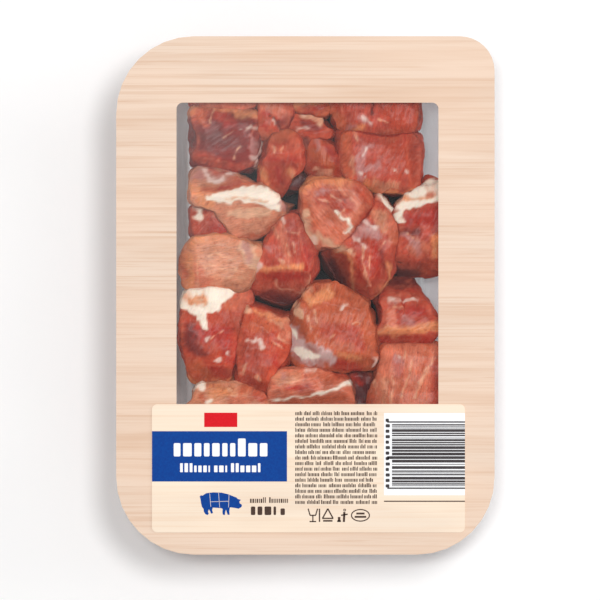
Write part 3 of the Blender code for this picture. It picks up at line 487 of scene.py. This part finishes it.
# Bar pattern: its pale field, its bars in modules, where its longer bars start, and the blocks beside it
BARCODE_FIELD = (28.41, -72.23, 57.69, -42.51)
BARS = (31.3, -69.95, 57.69, -45.5)
BAR_MODULES = 95
BAR_WIDTHS = (1, 1, 2, 3, 4)
BAR_GAPS = (1, 1, 2)
GUARD_LEFT = 29.6
DIGITS = (28.75, -69.8, 30.7, -44.1)
DIGIT_COUNT = 13

# Animal figure and signs
PIG_CORNER = (-38.3, -79.6)
PIG_LINES = ((-34.6, -71.6, -34.2, -76.4), (-31.4, -71.3, -31.0, -76.6), (-27.6, -71.8, -27.8, -76.6),
             (-34.3, -74.6, -27.8, -74.4))
PIG_LINE_WIDTH = 0.16
ICONS_BOTTOM = -81.9
ICONS_TOP = -77.1

# Lamps: name, direction towards it, distance and size in metres, power in watts
LAMPS = (
    ("key", (0.15, 0.14, 0.97), 1.6, 0.36, 8.6),
    ("above", (-0.06, 0.06, 1.0), 3.0, 0.34, 21.0),
    ("side", (0.92, 0.2, 0.38), 2.4, 1.0, 14.0),
)
SURROUND = 0.42
SURROUND_COLOUR = (1.0, 0.99, 0.985, 1.0)

# Camera: its height in metres, and in millimetres the width that it sees at the film and its place
CAMERA_HEIGHT = 2.4
VIEW_WIDTH = 216.9
CAMERA_PLACE = (-1.95, -1.66)


def noise(points, size, seed):
    """A smooth random value from -1 to 1 at each point, with lumps of the given size."""
    places = points / size
    cells = np.floor(places).astype(np.int64)
    part = places - cells
    part = part * part * (3.0 - 2.0 * part)
    total = np.zeros(len(points))
    for corner in product((0, 1), repeat=3):
        near = cells + corner
        mixed = near[:, 0] * 73856093 ^ near[:, 1] * 19349663 ^ near[:, 2] * 83492791 ^ seed * 2654435
        mixed = (mixed ^ mixed >> 13) * 1274126177 & 0xFFFFFFFF
        value = ((mixed ^ mixed >> 16) & 0xFFFF) / 32767.5 - 1.0
        share = np.where(corner, part, 1.0 - part).prod(axis=1)
        total += value * share
    return total


def smoothstep(low, high, value):
    """A soft step from 0 at low to 1 at high."""
    t = np.clip((value - low) / (high - low), 0.0, 1.0)
    return t * t * (3.0 - 2.0 * t)


def linear(colour):
    """A linear colour from 8-bit sRGB."""
    c = np.array(colour[:3], float) / 255.0
    return np.where(c <= 0.04045, c / 12.92, ((c + 0.055) / 1.055) ** 2.4)


def rgba(colour):
    """A shader colour from 8-bit sRGB."""
    return (*linear(colour), 1.0)


def add_object(name, mesh, material):
    """Adds a named piece that rides with the pack."""
    obj = bpy.data.objects.new(name, mesh)
    bpy.context.scene.collection.objects.link(obj)
    obj.data.materials.clear()
    obj.data.materials.append(material)
    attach(obj, "root")
    return obj


class Shader:
    """A material with one Principled shader, and short ways to add nodes to it."""

    def __init__(self, name, **values):
        self.material = bpy.data.materials.new(name)
        self.material.use_nodes = True
        self.tree = self.material.node_tree
        self.shader = self.tree.nodes["Principled BSDF"]
        for key, value in values.items():
            self.shader.inputs[key.replace("_", " ")].default_value = value

    def add(self, kind, settings=(), **inputs):
        """Adds a node, with its settings, and its inputs by name or number as values or as sockets."""
        node = self.tree.nodes.new(kind)
        for key, value in dict(settings).items():
            setattr(node, key, value)
        for key, value in inputs.items():
            numbered = key[0] == "i" and key[1:].isdigit()
            socket = node.inputs[int(key[1:]) if numbered else key.replace("_", " ")]
            if isinstance(value, bpy.types.NodeSocket):
                self.tree.links.new(value, socket)
            else:
                socket.default_value = value
        return node

    def set(self, name, value):
        """Links a socket to an input of the shader."""
        self.tree.links.new(value, self.shader.inputs[name])

    def place(self, scale=(1.0, 1.0, 1.0), attribute=None):
        """Coordinates in metres, or those of an attribute, times a scale."""
        if attribute:
            source = self.add("ShaderNodeAttribute", {"attribute_name": attribute}).outputs["Vector"]
        else:
            source = self.add("ShaderNodeTexCoord").outputs["Object"]
        return self.add("ShaderNodeMapping", Vector=source, Scale=scale).outputs[0]

    def grain(self, vector, scale, detail=4.0, roughness=0.55, distortion=0.0):
        """A noise value, 0 to 1, with the given number of lumps to a unit."""
        return self.add(
            "ShaderNodeTexNoise", Vector=vector, Scale=scale, Detail=detail, Roughness=roughness,
            Distortion=distortion
        ).outputs["Fac"]

    def remap(self, value, low, high, to_low, to_high):
        """A value moved from one range to another, and held inside it."""
        return self.add("ShaderNodeMapRange", i0=value, i1=low, i2=high, i3=to_low, i4=to_high).outputs[0]

    def product(self, first, second):
        """Two values multiplied."""
        return self.add("ShaderNodeMath", {"operation": "MULTIPLY"}, i0=first, i1=second).outputs[0]

    def mix(self, share, first, second, blend="MIX"):
        """Two colours mixed."""
        settings = {"data_type": "RGBA", "blend_type": blend}
        return self.add("ShaderNodeMix", settings, i0=share, i6=first, i7=second).outputs[2]

    def bump(self, height, strength, distance):
        """Relief from a height value, with its depth in metres."""
        node = self.add("ShaderNodeBump", Height=height, Strength=strength, Distance=distance)
        self.set("Normal", node.outputs[0])


def pork_material():
    """Wet raw pork: its painted tones, broken by fine fibres and pale flecks."""
    s = Shader("pork", Subsurface_Weight=0.15, Subsurface_Radius=(1.0, 0.32, 0.2), Subsurface_Scale=0.0014,
               IOR=1.38, Specular_IOR_Level=0.06, Coat_Weight=0.13, Coat_Roughness=0.26)
    tint = s.add("ShaderNodeAttribute", {"attribute_name": "tint"}).outputs["Color"]
    fat = s.add("ShaderNodeAttribute", {"attribute_name": "fat"}).outputs["Fac"]
    fibre = s.place((330.0, 1900.0, 1900.0), "fibre")
    plain = s.place((1.0, 1.0, 1.0), "fibre")
    streaky = s.place((300.0, 950.0, 950.0), "fibre")
    strands = s.grain(fibre, 1.0, 3.0)
    mottle = s.grain(plain, 620.0, 4.0, 0.65)
    specks = s.grain(plain, 1500.0, 2.0)
    shade = s.remap(strands, 0.3, 0.7, 0.82, 1.14)
    shaded = s.mix(1.0, tint, s.add("ShaderNodeCombineXYZ", X=shade, Y=shade, Z=shade).outputs[0], "MULTIPLY")
    glow = s.remap(s.add("ShaderNodeRGBToBW", Color=tint).outputs[0], 0.05, 0.3, 0.1, 0.9)
    pale = s.product(s.remap(mottle, 0.56, 0.74, 0.0, 0.42), glow)
    lighter = s.mix(pale, shaded, rgba(PALE_MOTTLE))
    dark = s.remap(mottle, 0.46, 0.28, 0.0, 0.65)
    darker = s.mix(dark, lighter, s.mix(1.0, shaded, rgba(DARK_MOTTLE), "MULTIPLY"))
    streaks = s.product(s.remap(s.grain(streaky, 1.0, 3.0, 0.65, 0.4), 0.54, 0.8, 0.0, 0.4), glow)
    flecks = s.mix(streaks, darker, rgba(STREAKS))
    s.set("Base Color", s.mix(fat, flecks, s.mix(0.6, shaded, tint)))
    s.set("Roughness", s.remap(specks, 0.3, 0.7, 0.36, 0.5))
    height = s.add("ShaderNodeMath", {"operation": "ADD"}, i0=strands, i1=mottle).outputs[0]
    s.bump(height, 0.5, 0.0004)
    return s.material


def wood_print_material(name, light, dark, contrast):
    """Film printed with pale wood grain that runs across the pack."""
    s = Shader(name, IOR=PLASTIC_IOR, Specular_IOR_Level=0.2)
    patches = s.grain(s.place(GRAIN_PATCHES), 1.0, 2.0)
    wide = s.grain(s.place(GRAIN_BANDS), 1.0, 3.0, 0.55, 0.6)
    fine = s.grain(s.place(GRAIN_LINES), 1.0, 4.0, 0.75, 0.9)
    toned = s.mix(s.remap(patches, 0.4, 0.62, 0.0, 0.6 * contrast), rgba(light), rgba(PRINT_SHADOW))
    banded = s.mix(s.remap(wide, 0.46, 0.74, 0.0, 0.6 * contrast), toned, rgba(dark))
    strength = s.remap(patches, 0.35, 0.6, 0.45 * contrast, contrast)
    lines = s.product(s.remap(fine, 0.48, 0.72, 0.0, 1.0), strength)
    s.set("Base Color", s.mix(lines, banded, rgba(dark)))
    s.set("Roughness", s.remap(fine, 0.3, 0.7, 0.38, 0.5))
    s.bump(fine, 0.1, 0.0001)
    return s.material


def ink_material(name, colour):
    """Printing ink with a faint unevenness."""
    s = Shader(name, IOR=PLASTIC_IOR, Specular_IOR_Level=0.05)
    spots = s.grain(s.place(), 1400.0, 3.0)
    weak = tuple(min(255, c + 10) for c in colour)
    s.set("Base Color", s.mix(s.remap(spots, 0.35, 0.65, 0.0, 1.0), rgba(colour), rgba(weak)))
    s.set("Roughness", s.remap(spots, 0.3, 0.7, 0.36, 0.48))
    return s.material


def film_material():
    """Clear lidding film with a faint unevenness in its gloss."""
    s = Shader("clear_film", Base_Color=rgba(FILM_COLOUR), Alpha=FILM_ALPHA, IOR=PLASTIC_IOR)
    waves = s.grain(s.place((60.0, 60.0, 20.0)), 1.0, 3.0)
    s.set("Roughness", s.remap(waves, 0.3, 0.7, 0.06, 0.16))
    s.bump(waves, 0.2, 0.0001)
    return s.material


def tray_material():
    """Clear plastic with a pale tone, painted shade and a painted reflection of the meat at the left, and
    streaks down its walls.
    """
    s = Shader("clear_tray", Alpha=TRAY_ALPHA, IOR=PLASTIC_IOR)
    x = s.add("ShaderNodeSeparateXYZ", Vector=s.place()).outputs["X"]
    streaks = s.grain(s.place((700.0, 40.0, 120.0)), 1.0, 3.0)
    wall_with_painted_shade = s.mix(s.remap(x, -0.03, 0.03, 0.0, 1.0), rgba(TRAY_LEFT_SHADE_AND_REFLECTION), rgba(TRAY_RIGHT))
    dark = s.mix(1.0, wall_with_painted_shade, rgba(TRAY_STREAK), "MULTIPLY")
    s.set("Base Color", s.mix(s.remap(streaks, 0.4, 0.62, 0.0, 1.0), dark, wall_with_painted_shade))
    s.set("Roughness", s.remap(streaks, 0.3, 0.7, 0.06, 0.2))
    s.bump(streaks, 0.3, 0.0002)
    return s.material


def pad_material():
    """A dark absorbent pad, embossed with small dimples."""
    s = Shader("absorbent_pad", Specular_IOR_Level=0.3)
    cells = s.add("ShaderNodeTexVoronoi", Vector=s.place(), Scale=380.0, Randomness=0.15).outputs["Distance"]
    fluff = s.grain(s.place(), 2600.0, 3.0)
    s.set("Base Color", s.mix(s.remap(cells, 0.1, 0.6, 0.0, 1.0), rgba(PAD_HIGH), rgba(PAD_LOW)))
    s.set("Roughness", s.remap(fluff, 0.3, 0.7, 0.6, 0.85))
    s.bump(cells, 0.7, 0.0005)
    return s.material


def fine_mesh(node):
    """A finely meshed copy of a CAD node, with its corners softened."""
    carrier = bpy.data.objects.new("carrier", NODES[node].data.copy())
    bpy.context.scene.collection.objects.link(carrier)
    remesh = carrier.modifiers.new("remesh", "REMESH")
    remesh.mode = "VOXEL"
    remesh.voxel_size = MEAT_VOXEL * MM
    soften = carrier.modifiers.new("soften", "SMOOTH")
    soften.factor = SOFTEN_FACTOR
    soften.iterations = SOFTEN_ROUNDS
    evaluated = carrier.evaluated_get(bpy.context.evaluated_depsgraph_get())
    mesh = bpy.data.meshes.new_from_object(evaluated)
    bpy.data.objects.remove(carrier)
    return mesh


def line_distance(points, line):
    """The distance of each point from a line with a half width at each of its corners, less that width."""
    nearest = np.full(len(points), np.inf)
    for (ax, ay, aw), (bx, by, bw) in zip(line, line[1:]):
        start = np.array((ax, ay))
        run = np.array((bx - ax, by - ay))
        along = np.clip((points - start) @ run / (run @ run), 0.0, 1.0)
        gap = np.linalg.norm(points - start - along[:, None] * run, axis=1) - (aw + along * (bw - aw))
        nearest = np.minimum(nearest, gap)
    return nearest


def read_vectors(mesh, name):
    """Positions or normals of a mesh's vertices."""
    values = np.empty(len(mesh.vertices) * 3)
    mesh.vertices.foreach_get(name, values)
    return values.reshape(-1, 3)


def knife_cut(places, cut):
    """How far each point stands above a cut, with a slightly rounded edge."""
    x, y, z, direction, slope = cut
    beyond = (places[:, 0] - x) * cos(radians(direction)) + (places[:, 1] - y) * sin(radians(direction))
    over = places[:, 2] - (z - slope * beyond)
    return 0.5 * (over + np.sqrt(over * over + CUT_EDGE * CUT_EDGE)) - 0.25 * CUT_EDGE


def turn_to_grain(places, direction):
    """Positions turned so that x runs along the grain."""
    angle = radians(direction)
    return np.column_stack((
        places[:, 0] * cos(angle) + places[:, 1] * sin(angle),
        places[:, 1] * cos(angle) - places[:, 0] * sin(angle),
        places[:, 2],
    ))


def paint_marks(places, turned, main, marks, seed):
    """The tint of each point, the height of the marks on it and its share of fat."""
    warped = places[:, :2].copy()
    for size, reach in WARPS:
        warped[:, 0] += reach * noise(places, size, seed)
        warped[:, 1] += reach * noise(places, size, seed + 50)
    ragged = noise(turned * ROUGH_STRETCH, ROUGH_SIZE, seed + 100)
    broken = 1.0 - BREAKS * (0.5 + 0.5 * noise(turned * BREAK_STRETCH, BREAK_SIZE, seed + 120))

    tint = np.tile(linear(TONES[main][0]), (len(places), 1))
    height = np.zeros(len(places))
    fat = np.zeros(len(places))
    for tone, *numbers in marks:
        colour, soft, rough, opacity, rise = TONES[tone]
        gap = line_distance(warped, np.reshape(numbers, (-1, 3))) + rough * ragged
        share = 1.0 - smoothstep(-soft, soft, gap)
        if tone in ("vein", "white"):
            share *= broken
        tint += (linear(colour) - tint) * (share * opacity)[:, None]
        height += rise * share
        fat += (PALE.get(tone, 0.0) - fat) * share
    return tint, height, fat


def paint_depth_shade(tint, fat, places, depth):
    """Darkens the tint of deeper points as painted shade, most in the middle, and gives the lean meat its
    gain.
    """
    inner = smoothstep(INNER_EDGE, 0.0, (abs(places[:, :2]) - INNER_HALF_SIZE).max(axis=1))
    shade = (OUTER_SHADE + (INNER_SHADE - OUTER_SHADE) * inner) * smoothstep(*SHADE_DEPTHS, depth)
    tint += (linear(TONES["maroon"][0]) - tint) * (shade * (1.0 - 0.4 * fat))[:, None]
    tint *= 1.0 + (np.array(GAIN) - 1.0) * (1.0 - 0.7 * fat)[:, None]


def swell_out(places, normals, across, turned, height, depth, seed):
    """Moves points out in lumps and fibres, and the sides towards their neighbours."""
    facing = smoothstep(-0.2, 0.7, normals[:, 2])
    lumps = sum(reach * noise(places, size, seed + 200) for size, reach in LUMPS)
    fibres = FIBRE_HEIGHT * noise(turned / FIBRE_SIZE, 1.0, seed + 250)
    swell = SWELL + (height + lumps + fibres) * (0.4 + 0.6 * facing)
    foot = smoothstep(0.0, FOOT_HEIGHT, places[:, 2] - places[:, 2].min())
    spread = SPREAD * smoothstep(0.2, 0.7, across) * smoothstep(*SIDE_DEPTHS, depth)
    spread *= 1.0 + 0.5 * noise(places, SPREAD_LUMP, seed + 300)
    for x, y, radius in OPEN_GAPS:
        spread *= smoothstep(radius, radius + GAP_EDGE, np.hypot(places[:, 0] - x, places[:, 1] - y))
    places[:, :2] += normals[:, :2] * (spread / np.maximum(across, 0.2))[:, None]
    places += normals * (swell * foot)[:, None]


def cut_top(places, cuts, depth):
    """Lowers points to their knife cuts, and tells how far each one came down."""
    low = places[:, 2].min()
    facet = np.zeros(len(places))
    for cut in cuts:
        above = np.clip(knife_cut(places, cut), 0.0, places[:, 2] - low) * smoothstep(*SIDE_DEPTHS, depth)
        places[:, 2] -= above
        facet = np.maximum(facet, above)
    return facet


def paint_rim_light_and_shade(tint, fat, places, across, facet, depth, seed):
    """Gives the tint painted highlights on the rims of the top and its cuts, uneven tones, and painted shade
    on sides and facets.
    """
    rim_highlight = smoothstep(0.3, 0.5, across) * smoothstep(0.85, 0.65, across) * smoothstep(*RIM_HIGHLIGHT_DEPTHS, depth)
    rim_highlight = np.maximum(rim_highlight, smoothstep(0.08, 0.25, facet) * smoothstep(0.8, 0.4, facet))
    rim_highlight *= RIM_HIGHLIGHT_SHARE * (0.55 + 0.45 * noise(places, RIM_HIGHLIGHT_LUMP, seed + 350)) * (1.0 - fat)
    tint += (linear(RIM_HIGHLIGHT_TONE) - tint) * rim_highlight[:, None]
    mottle = sum(share * noise(places, size, seed + 400) for size, share in MOTTLE)
    # Painted shade on the steep sides and on the faces of the knife cuts
    dim = 1.0 - FACET_SHADE * smoothstep(0.5, 1.5, facet) - SIDE_SHADE * smoothstep(0.6, 0.95, across)
    tint *= (1.0 + mottle * (1.0 - 0.7 * fat))[:, None] * (1.0 - (1.0 - dim) * (1.0 - 0.5 * fat))[:, None]


def add_values(mesh, name, kind, field, values):
    """Stores a value for each vertex as an attribute."""
    mesh.attributes.new(name, kind, "POINT").data.foreach_set(field, values.ravel())


def make_meat_piece(name, seed, material):
    """A piece of pork in the place of its CAD node, with soft lumps, fibres and painted tones."""
    node = "meat_" + name
    main, direction, marks = LOOKS[name]
    mesh = fine_mesh(node)
    places = read_vectors(mesh, "co") / MM
    normals = read_vectors(mesh, "normal")
    across = np.linalg.norm(normals[:, :2], axis=1)
    depth = places[:, 2].max() - places[:, 2]
    turned = turn_to_grain(places, direction)

    tint, height, fat = paint_marks(places, turned, main, marks, seed)
    paint_depth_shade(tint, fat, places, depth)
    swell_out(places, normals, across, turned, height, depth, seed)
    facet = cut_top(places, CUTS.get(name, ()), depth)
    paint_rim_light_and_shade(tint, fat, places, across, facet, depth, seed)

    mesh.vertices.foreach_set("co", (places * MM).ravel())
    mesh.update()
    colours = np.column_stack((np.clip(tint, 0.0, 1.0), np.ones(len(places))))
    add_values(mesh, "tint", "FLOAT_COLOR", "color", colours)
    add_values(mesh, "fibre", "FLOAT_VECTOR", "vector", turned * MM)
    add_values(mesh, "fat", "FLOAT", "value", fat)
    mesh.shade_smooth()
    piece = add_object(node + ".cut", mesh, material)
    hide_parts(node)


def plates(name, outlines, material, base):
    """Thin flat plates of ink from outlines that run anticlockwise, on a base height."""
    verts = []
    faces = []
    for outline in outlines:
        count = len(outline)
        first = len(verts)
        verts += [(x * MM, y * MM, base * MM) for x, y in outline]
        verts += [(x * MM, y * MM, (base + INK) * MM) for x, y in outline]
        faces.append(tuple(range(first + count - 1, first - 1, -1)))
        faces.append(tuple(range(first + count, first + 2 * count)))
        for i in range(count):
            j = (i + 1) % count
            faces.append((first + i, first + j, first + count + j, first + count + i))
    mesh = bpy.data.meshes.new(name)
    mesh.from_pydata(verts, [], faces)
    add_object(name, mesh, material)


def rectangle(left, bottom, right, top):
    """A rectangle's corners."""
    return [(left, bottom), (right, bottom), (right, top), (left, top)]


def rounded(left, bottom, right, top, radius, steps=4):
    """A rectangle's corners, rounded."""
    corners = ((right - radius, bottom + radius, -90), (right - radius, top - radius, 0),
               (left + radius, top - radius, 90), (left + radius, bottom + radius, 180))
    return [
        (x + radius * cos(radians(start + 90 * i / steps)), y + radius * sin(radians(start + 90 * i / steps)))
        for x, y, start in corners for i in range(steps + 1)
    ]


def word_blocks(rand, box, width, gap, tall, radius):
    """A word shown as a row of small upright blocks, some of them taller than the rest."""
    left, bottom, right, top = box
    blocks = []
    x = left
    while x < right - 0.4 * width:
        step = min(width * rand.uniform(0.7, 1.3), right - x)
        extra = (top - bottom) * (0.35 if rand.random() < tall else 0.0)
        blocks.append(rounded(x, bottom, x + step, top + extra, radius) if radius else
                      rectangle(x, bottom, x + step, top + extra))
        x += step + gap
    return blocks


def text_block(rand):
    """Lines of small blocks in the place of the small print."""
    left, bottom, right, top = TEXT_BLOCK
    pitch = (top - bottom) / TEXT_LINES
    blocks = []
    for line in range(TEXT_LINES):
        base = top - line * pitch - TEXT_HEIGHT
        x = left
        while x < right - LEAST_WORD:
            length = min(rand.uniform(*WORD_LENGTHS), right - x)
            box = (x, base, x + length, base + TEXT_HEIGHT * LOW_SHARE)
            blocks += word_blocks(rand, box, *SMALL_BLOCKS)
            x += length + rand.uniform(*WORD_GAPS)
    return blocks


def barcode(rand):
    """Bars of random widths across the field, with longer ones at its ends and middle."""
    left, bottom, right, top = BARS
    module = (top - bottom) / BAR_MODULES
    bars = []
    place = 0
    while place < BAR_MODULES:
        bar = rand.choice(BAR_WIDTHS)
        guard = place < 3 or abs(place - BAR_MODULES / 2) < 2 or place > BAR_MODULES - 4
        start = top - place * module
        end = max(bottom, start - bar * module)
        bars.append(rectangle(GUARD_LEFT if guard else left, end, right, start))
        place += bar + rand.choice(BAR_GAPS)
    return bars


def digit_strip(rand):
    """Small blocks beside the bars."""
    left, bottom, right, top = DIGITS
    pitch = (top - bottom) / DIGIT_COUNT
    return [
        rounded(left + 0.25, bottom + i * pitch + 0.35, right - 0.1 - rand.uniform(0.0, 0.4),
                bottom + (i + 1) * pitch - 0.45, 0.3, 2)
        for i in range(DIGIT_COUNT)
    ]


def ring(cx, cy, rx, ry, width, steps=40):
    """An oval ring as a chain of small four-sided outlines."""
    turn = [2 * pi * i / steps for i in range(steps)]
    outer = [(cx + rx * cos(a), cy + ry * sin(a)) for a in turn]
    inner = [(cx + (rx - width) * cos(a), cy + (ry - width) * sin(a)) for a in turn]
    return [[outer[i], outer[(i + 1) % steps], inner[(i + 1) % steps], inner[i]] for i in range(steps)]


def stroke(x0, y0, x1, y1, width):
    """A straight stroke as a narrow rectangle."""
    run = Vector((x1 - x0, y1 - y0)).normalized() * width / 2
    ends = ((x0, y0, 1), (x1, y1, 1), (x1, y1, -1), (x0, y0, -1))
    return [(x + side * run.y, y - side * run.x) for x, y, side in ends]


def icon_shapes():
    """Four plain signs in a row: a cup shape, a triangle, a figure of strokes and an oval ring."""
    low, high = ICONS_BOTTOM, ICONS_TOP
    middle = (low + high) / 2
    shapes = [
        stroke(1.0, high, 1.7, middle, 0.45), stroke(4.4, high, 3.7, middle, 0.45),
        stroke(1.6, middle, 3.8, middle, 0.45), stroke(2.7, middle, 2.7, low, 0.45),
        stroke(1.5, low + 0.15, 3.9, low + 0.15, 0.45), stroke(5.1, high, 5.1, low, 0.5),
        stroke(6.2, low + 1.3, 8.1, high, 0.5), stroke(8.1, high, 10.0, low + 1.3, 0.5),
        stroke(10.1, low + 1.3, 6.1, low + 1.3, 0.5), stroke(6.4, low + 0.4, 9.8, low + 0.4, 0.6),
        stroke(11.5, low + 0.3, 12.9, low + 0.3, 0.6), stroke(12.2, low, 12.2, middle - 0.6, 0.9),
        stroke(14.1, high - 1.2, 13.9, low, 0.8), stroke(12.9, middle, 15.3, middle + 0.4, 0.5),
    ]
    shapes += ring(14.2, high - 0.5, 0.5, 0.5, 0.3, 12)
    shapes += ring(19.9, middle, 3.45, 2.3, 0.42)
    shapes.append(rectangle(18.4, middle + 0.3, 21.4, middle + 1.0))
    shapes.append(rectangle(17.8, middle - 0.9, 22.0, middle - 0.2))
    return shapes


def pig_outline():
    """A plain pig that faces right."""
    x0, y0 = PIG_CORNER
    spots = [
        (2.2, 0.5), (2.9, 0.2), (3.4, 0.6), (3.1, 1.4), (3.4, 2.3), (3.9, 1.5), (4.2, 0.7), (4.9, 0.9),
        (4.6, 1.9), (4.8, 2.9), (7.9, 2.7), (8.4, 2.4), (8.3, 1.2), (8.5, 0.3), (9.2, 0.2), (9.3, 1.2),
        (9.6, 2.2), (9.9, 1.2), (10.2, 0.3), (10.9, 0.3), (10.8, 1.6), (11, 3), (12.6, 2.8), (14.2, 2.5),
        (15.2, 3.1), (15.4, 3.9), (14.6, 4.4), (14.4, 5), (15, 5.7), (13.9, 6), (13.3, 6.6), (12.4, 6.9),
        (10.5, 7.7), (8, 8.3), (5, 8.4), (2.4, 8.1), (1.1, 7.2), (0.6, 7.4), (0.1, 6.9), (0.4, 5.9),
        (0.6, 4.4), (0.9, 3.2), (1.5, 2.4), (1.6, 1.4),
    ]
    return [(x0 + x, y0 + y) for x, y in spots]


def make_label_print():
    """The print on the label, in plain generic shapes."""
    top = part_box("label")[1].z / MM
    rand = Random(11)
    ink = {name: ink_material("ink_" + name, colour) for name, colour in INKS.items()}
    plates("print_block", [rectangle(*BLUE_BLOCK)], ink["blue"], top)
    plates("print_tag", [rectangle(*RED_TAG)], ink["red"], top)
    plates("print_pig", [pig_outline()], ink["blue"], top)
    plates("print_cuts", [stroke(*line, PIG_LINE_WIDTH) for line in PIG_LINES], ink["pale"], top + INK)
    words = [block for box in TITLE_WORDS for block in word_blocks(rand, box, *TITLE_BLOCKS)]
    words += [block for box in SECOND_WORDS for block in word_blocks(rand, box, *SECOND_BLOCKS)]
    plates("print_title", words, ink["white"], top + INK)
    small = [block for box in WEIGHT_WORDS for block in word_blocks(rand, box, *WEIGHT_BLOCKS)]
    small += [block for box in WEIGHT_FIGURES for block in word_blocks(rand, box, *FIGURE_BLOCKS)]
    plates("print_text", small + text_block(rand) + icon_shapes() + [rectangle(*RULE)], ink["brown"], top)
    plates("print_field", [rectangle(*BARCODE_FIELD)], ink["white"], top)
    plates("print_bars", barcode(rand) + digit_strip(rand), ink["black"], top + INK)


def dress_node(node, material):
    """Gives a CAD node its material."""
    mesh = NODES[node].data
    mesh.materials.clear()
    mesh.materials.append(material)


def make_lights():
    """Soft lamps high at the upper right, almost overhead and low at the right, and a pale surround."""
    for name, towards, distance, size, power in LAMPS:
        lamp = bpy.data.lights.new(name, "AREA")
        lamp.shape = "DISK"
        lamp.size = size
        lamp.energy = power
        holder = bpy.data.objects.new(name, lamp)
        towards = Vector(towards).normalized()
        holder.location = towards * distance
        holder.rotation_euler = towards.to_track_quat("Z", "Y").to_euler()
        bpy.context.scene.collection.objects.link(holder)
    world = bpy.data.worlds.new("studio")
    world.use_nodes = True
    world.node_tree.nodes["Background"].inputs["Color"].default_value = SURROUND_COLOUR
    world.node_tree.nodes["Background"].inputs["Strength"].default_value = SURROUND
    bpy.context.scene.world = world


def make_floor():
    """A plain white floor."""
    s = Shader("floor", Base_Color=rgba(FLOOR_COLOUR), Roughness=0.9, Specular_IOR_Level=0.1)
    mesh = bpy.data.meshes.new("floor")
    half = FLOOR_HALF_SIZE
    corners = [(x, y, 0) for x, y in rectangle(-half, -half, half, half)]
    mesh.from_pydata(corners, [], [(0, 1, 2, 3)])
    floor = bpy.data.objects.new("floor", mesh)
    floor.data.materials.append(s.material)
    bpy.context.scene.collection.objects.link(floor)


def make_camera():
    """A camera straight above, with the pack a little right of and above the middle."""
    data = bpy.data.cameras.new("camera")
    data.sensor_width = 36.0
    film = CAD_BOX[1].z
    data.lens = data.sensor_width * (CAMERA_HEIGHT - film) / (VIEW_WIDTH * MM)
    camera = bpy.data.objects.new("camera", data)
    camera.location = (CAMERA_PLACE[0] * MM, CAMERA_PLACE[1] * MM, CAMERA_HEIGHT)
    bpy.context.scene.collection.objects.link(camera)
    bpy.context.scene.camera = camera


pork = pork_material()
for number, name in enumerate(sorted(LOOKS)):
    make_meat_piece(name, 7 * number + 3, pork)
dress_node("tray", tray_material())
dress_node("lid_film", film_material())
dress_node("absorbent_pad", pad_material())
dress_node("printed_sheet", wood_print_material("printed_wood", *SHEET_LOOK))
dress_node("label", wood_print_material("label_paper", *LABEL_LOOK))
make_label_print()
make_floor()
make_lights()
make_camera()
bpy.context.scene.view_settings.view_transform = "Standard"
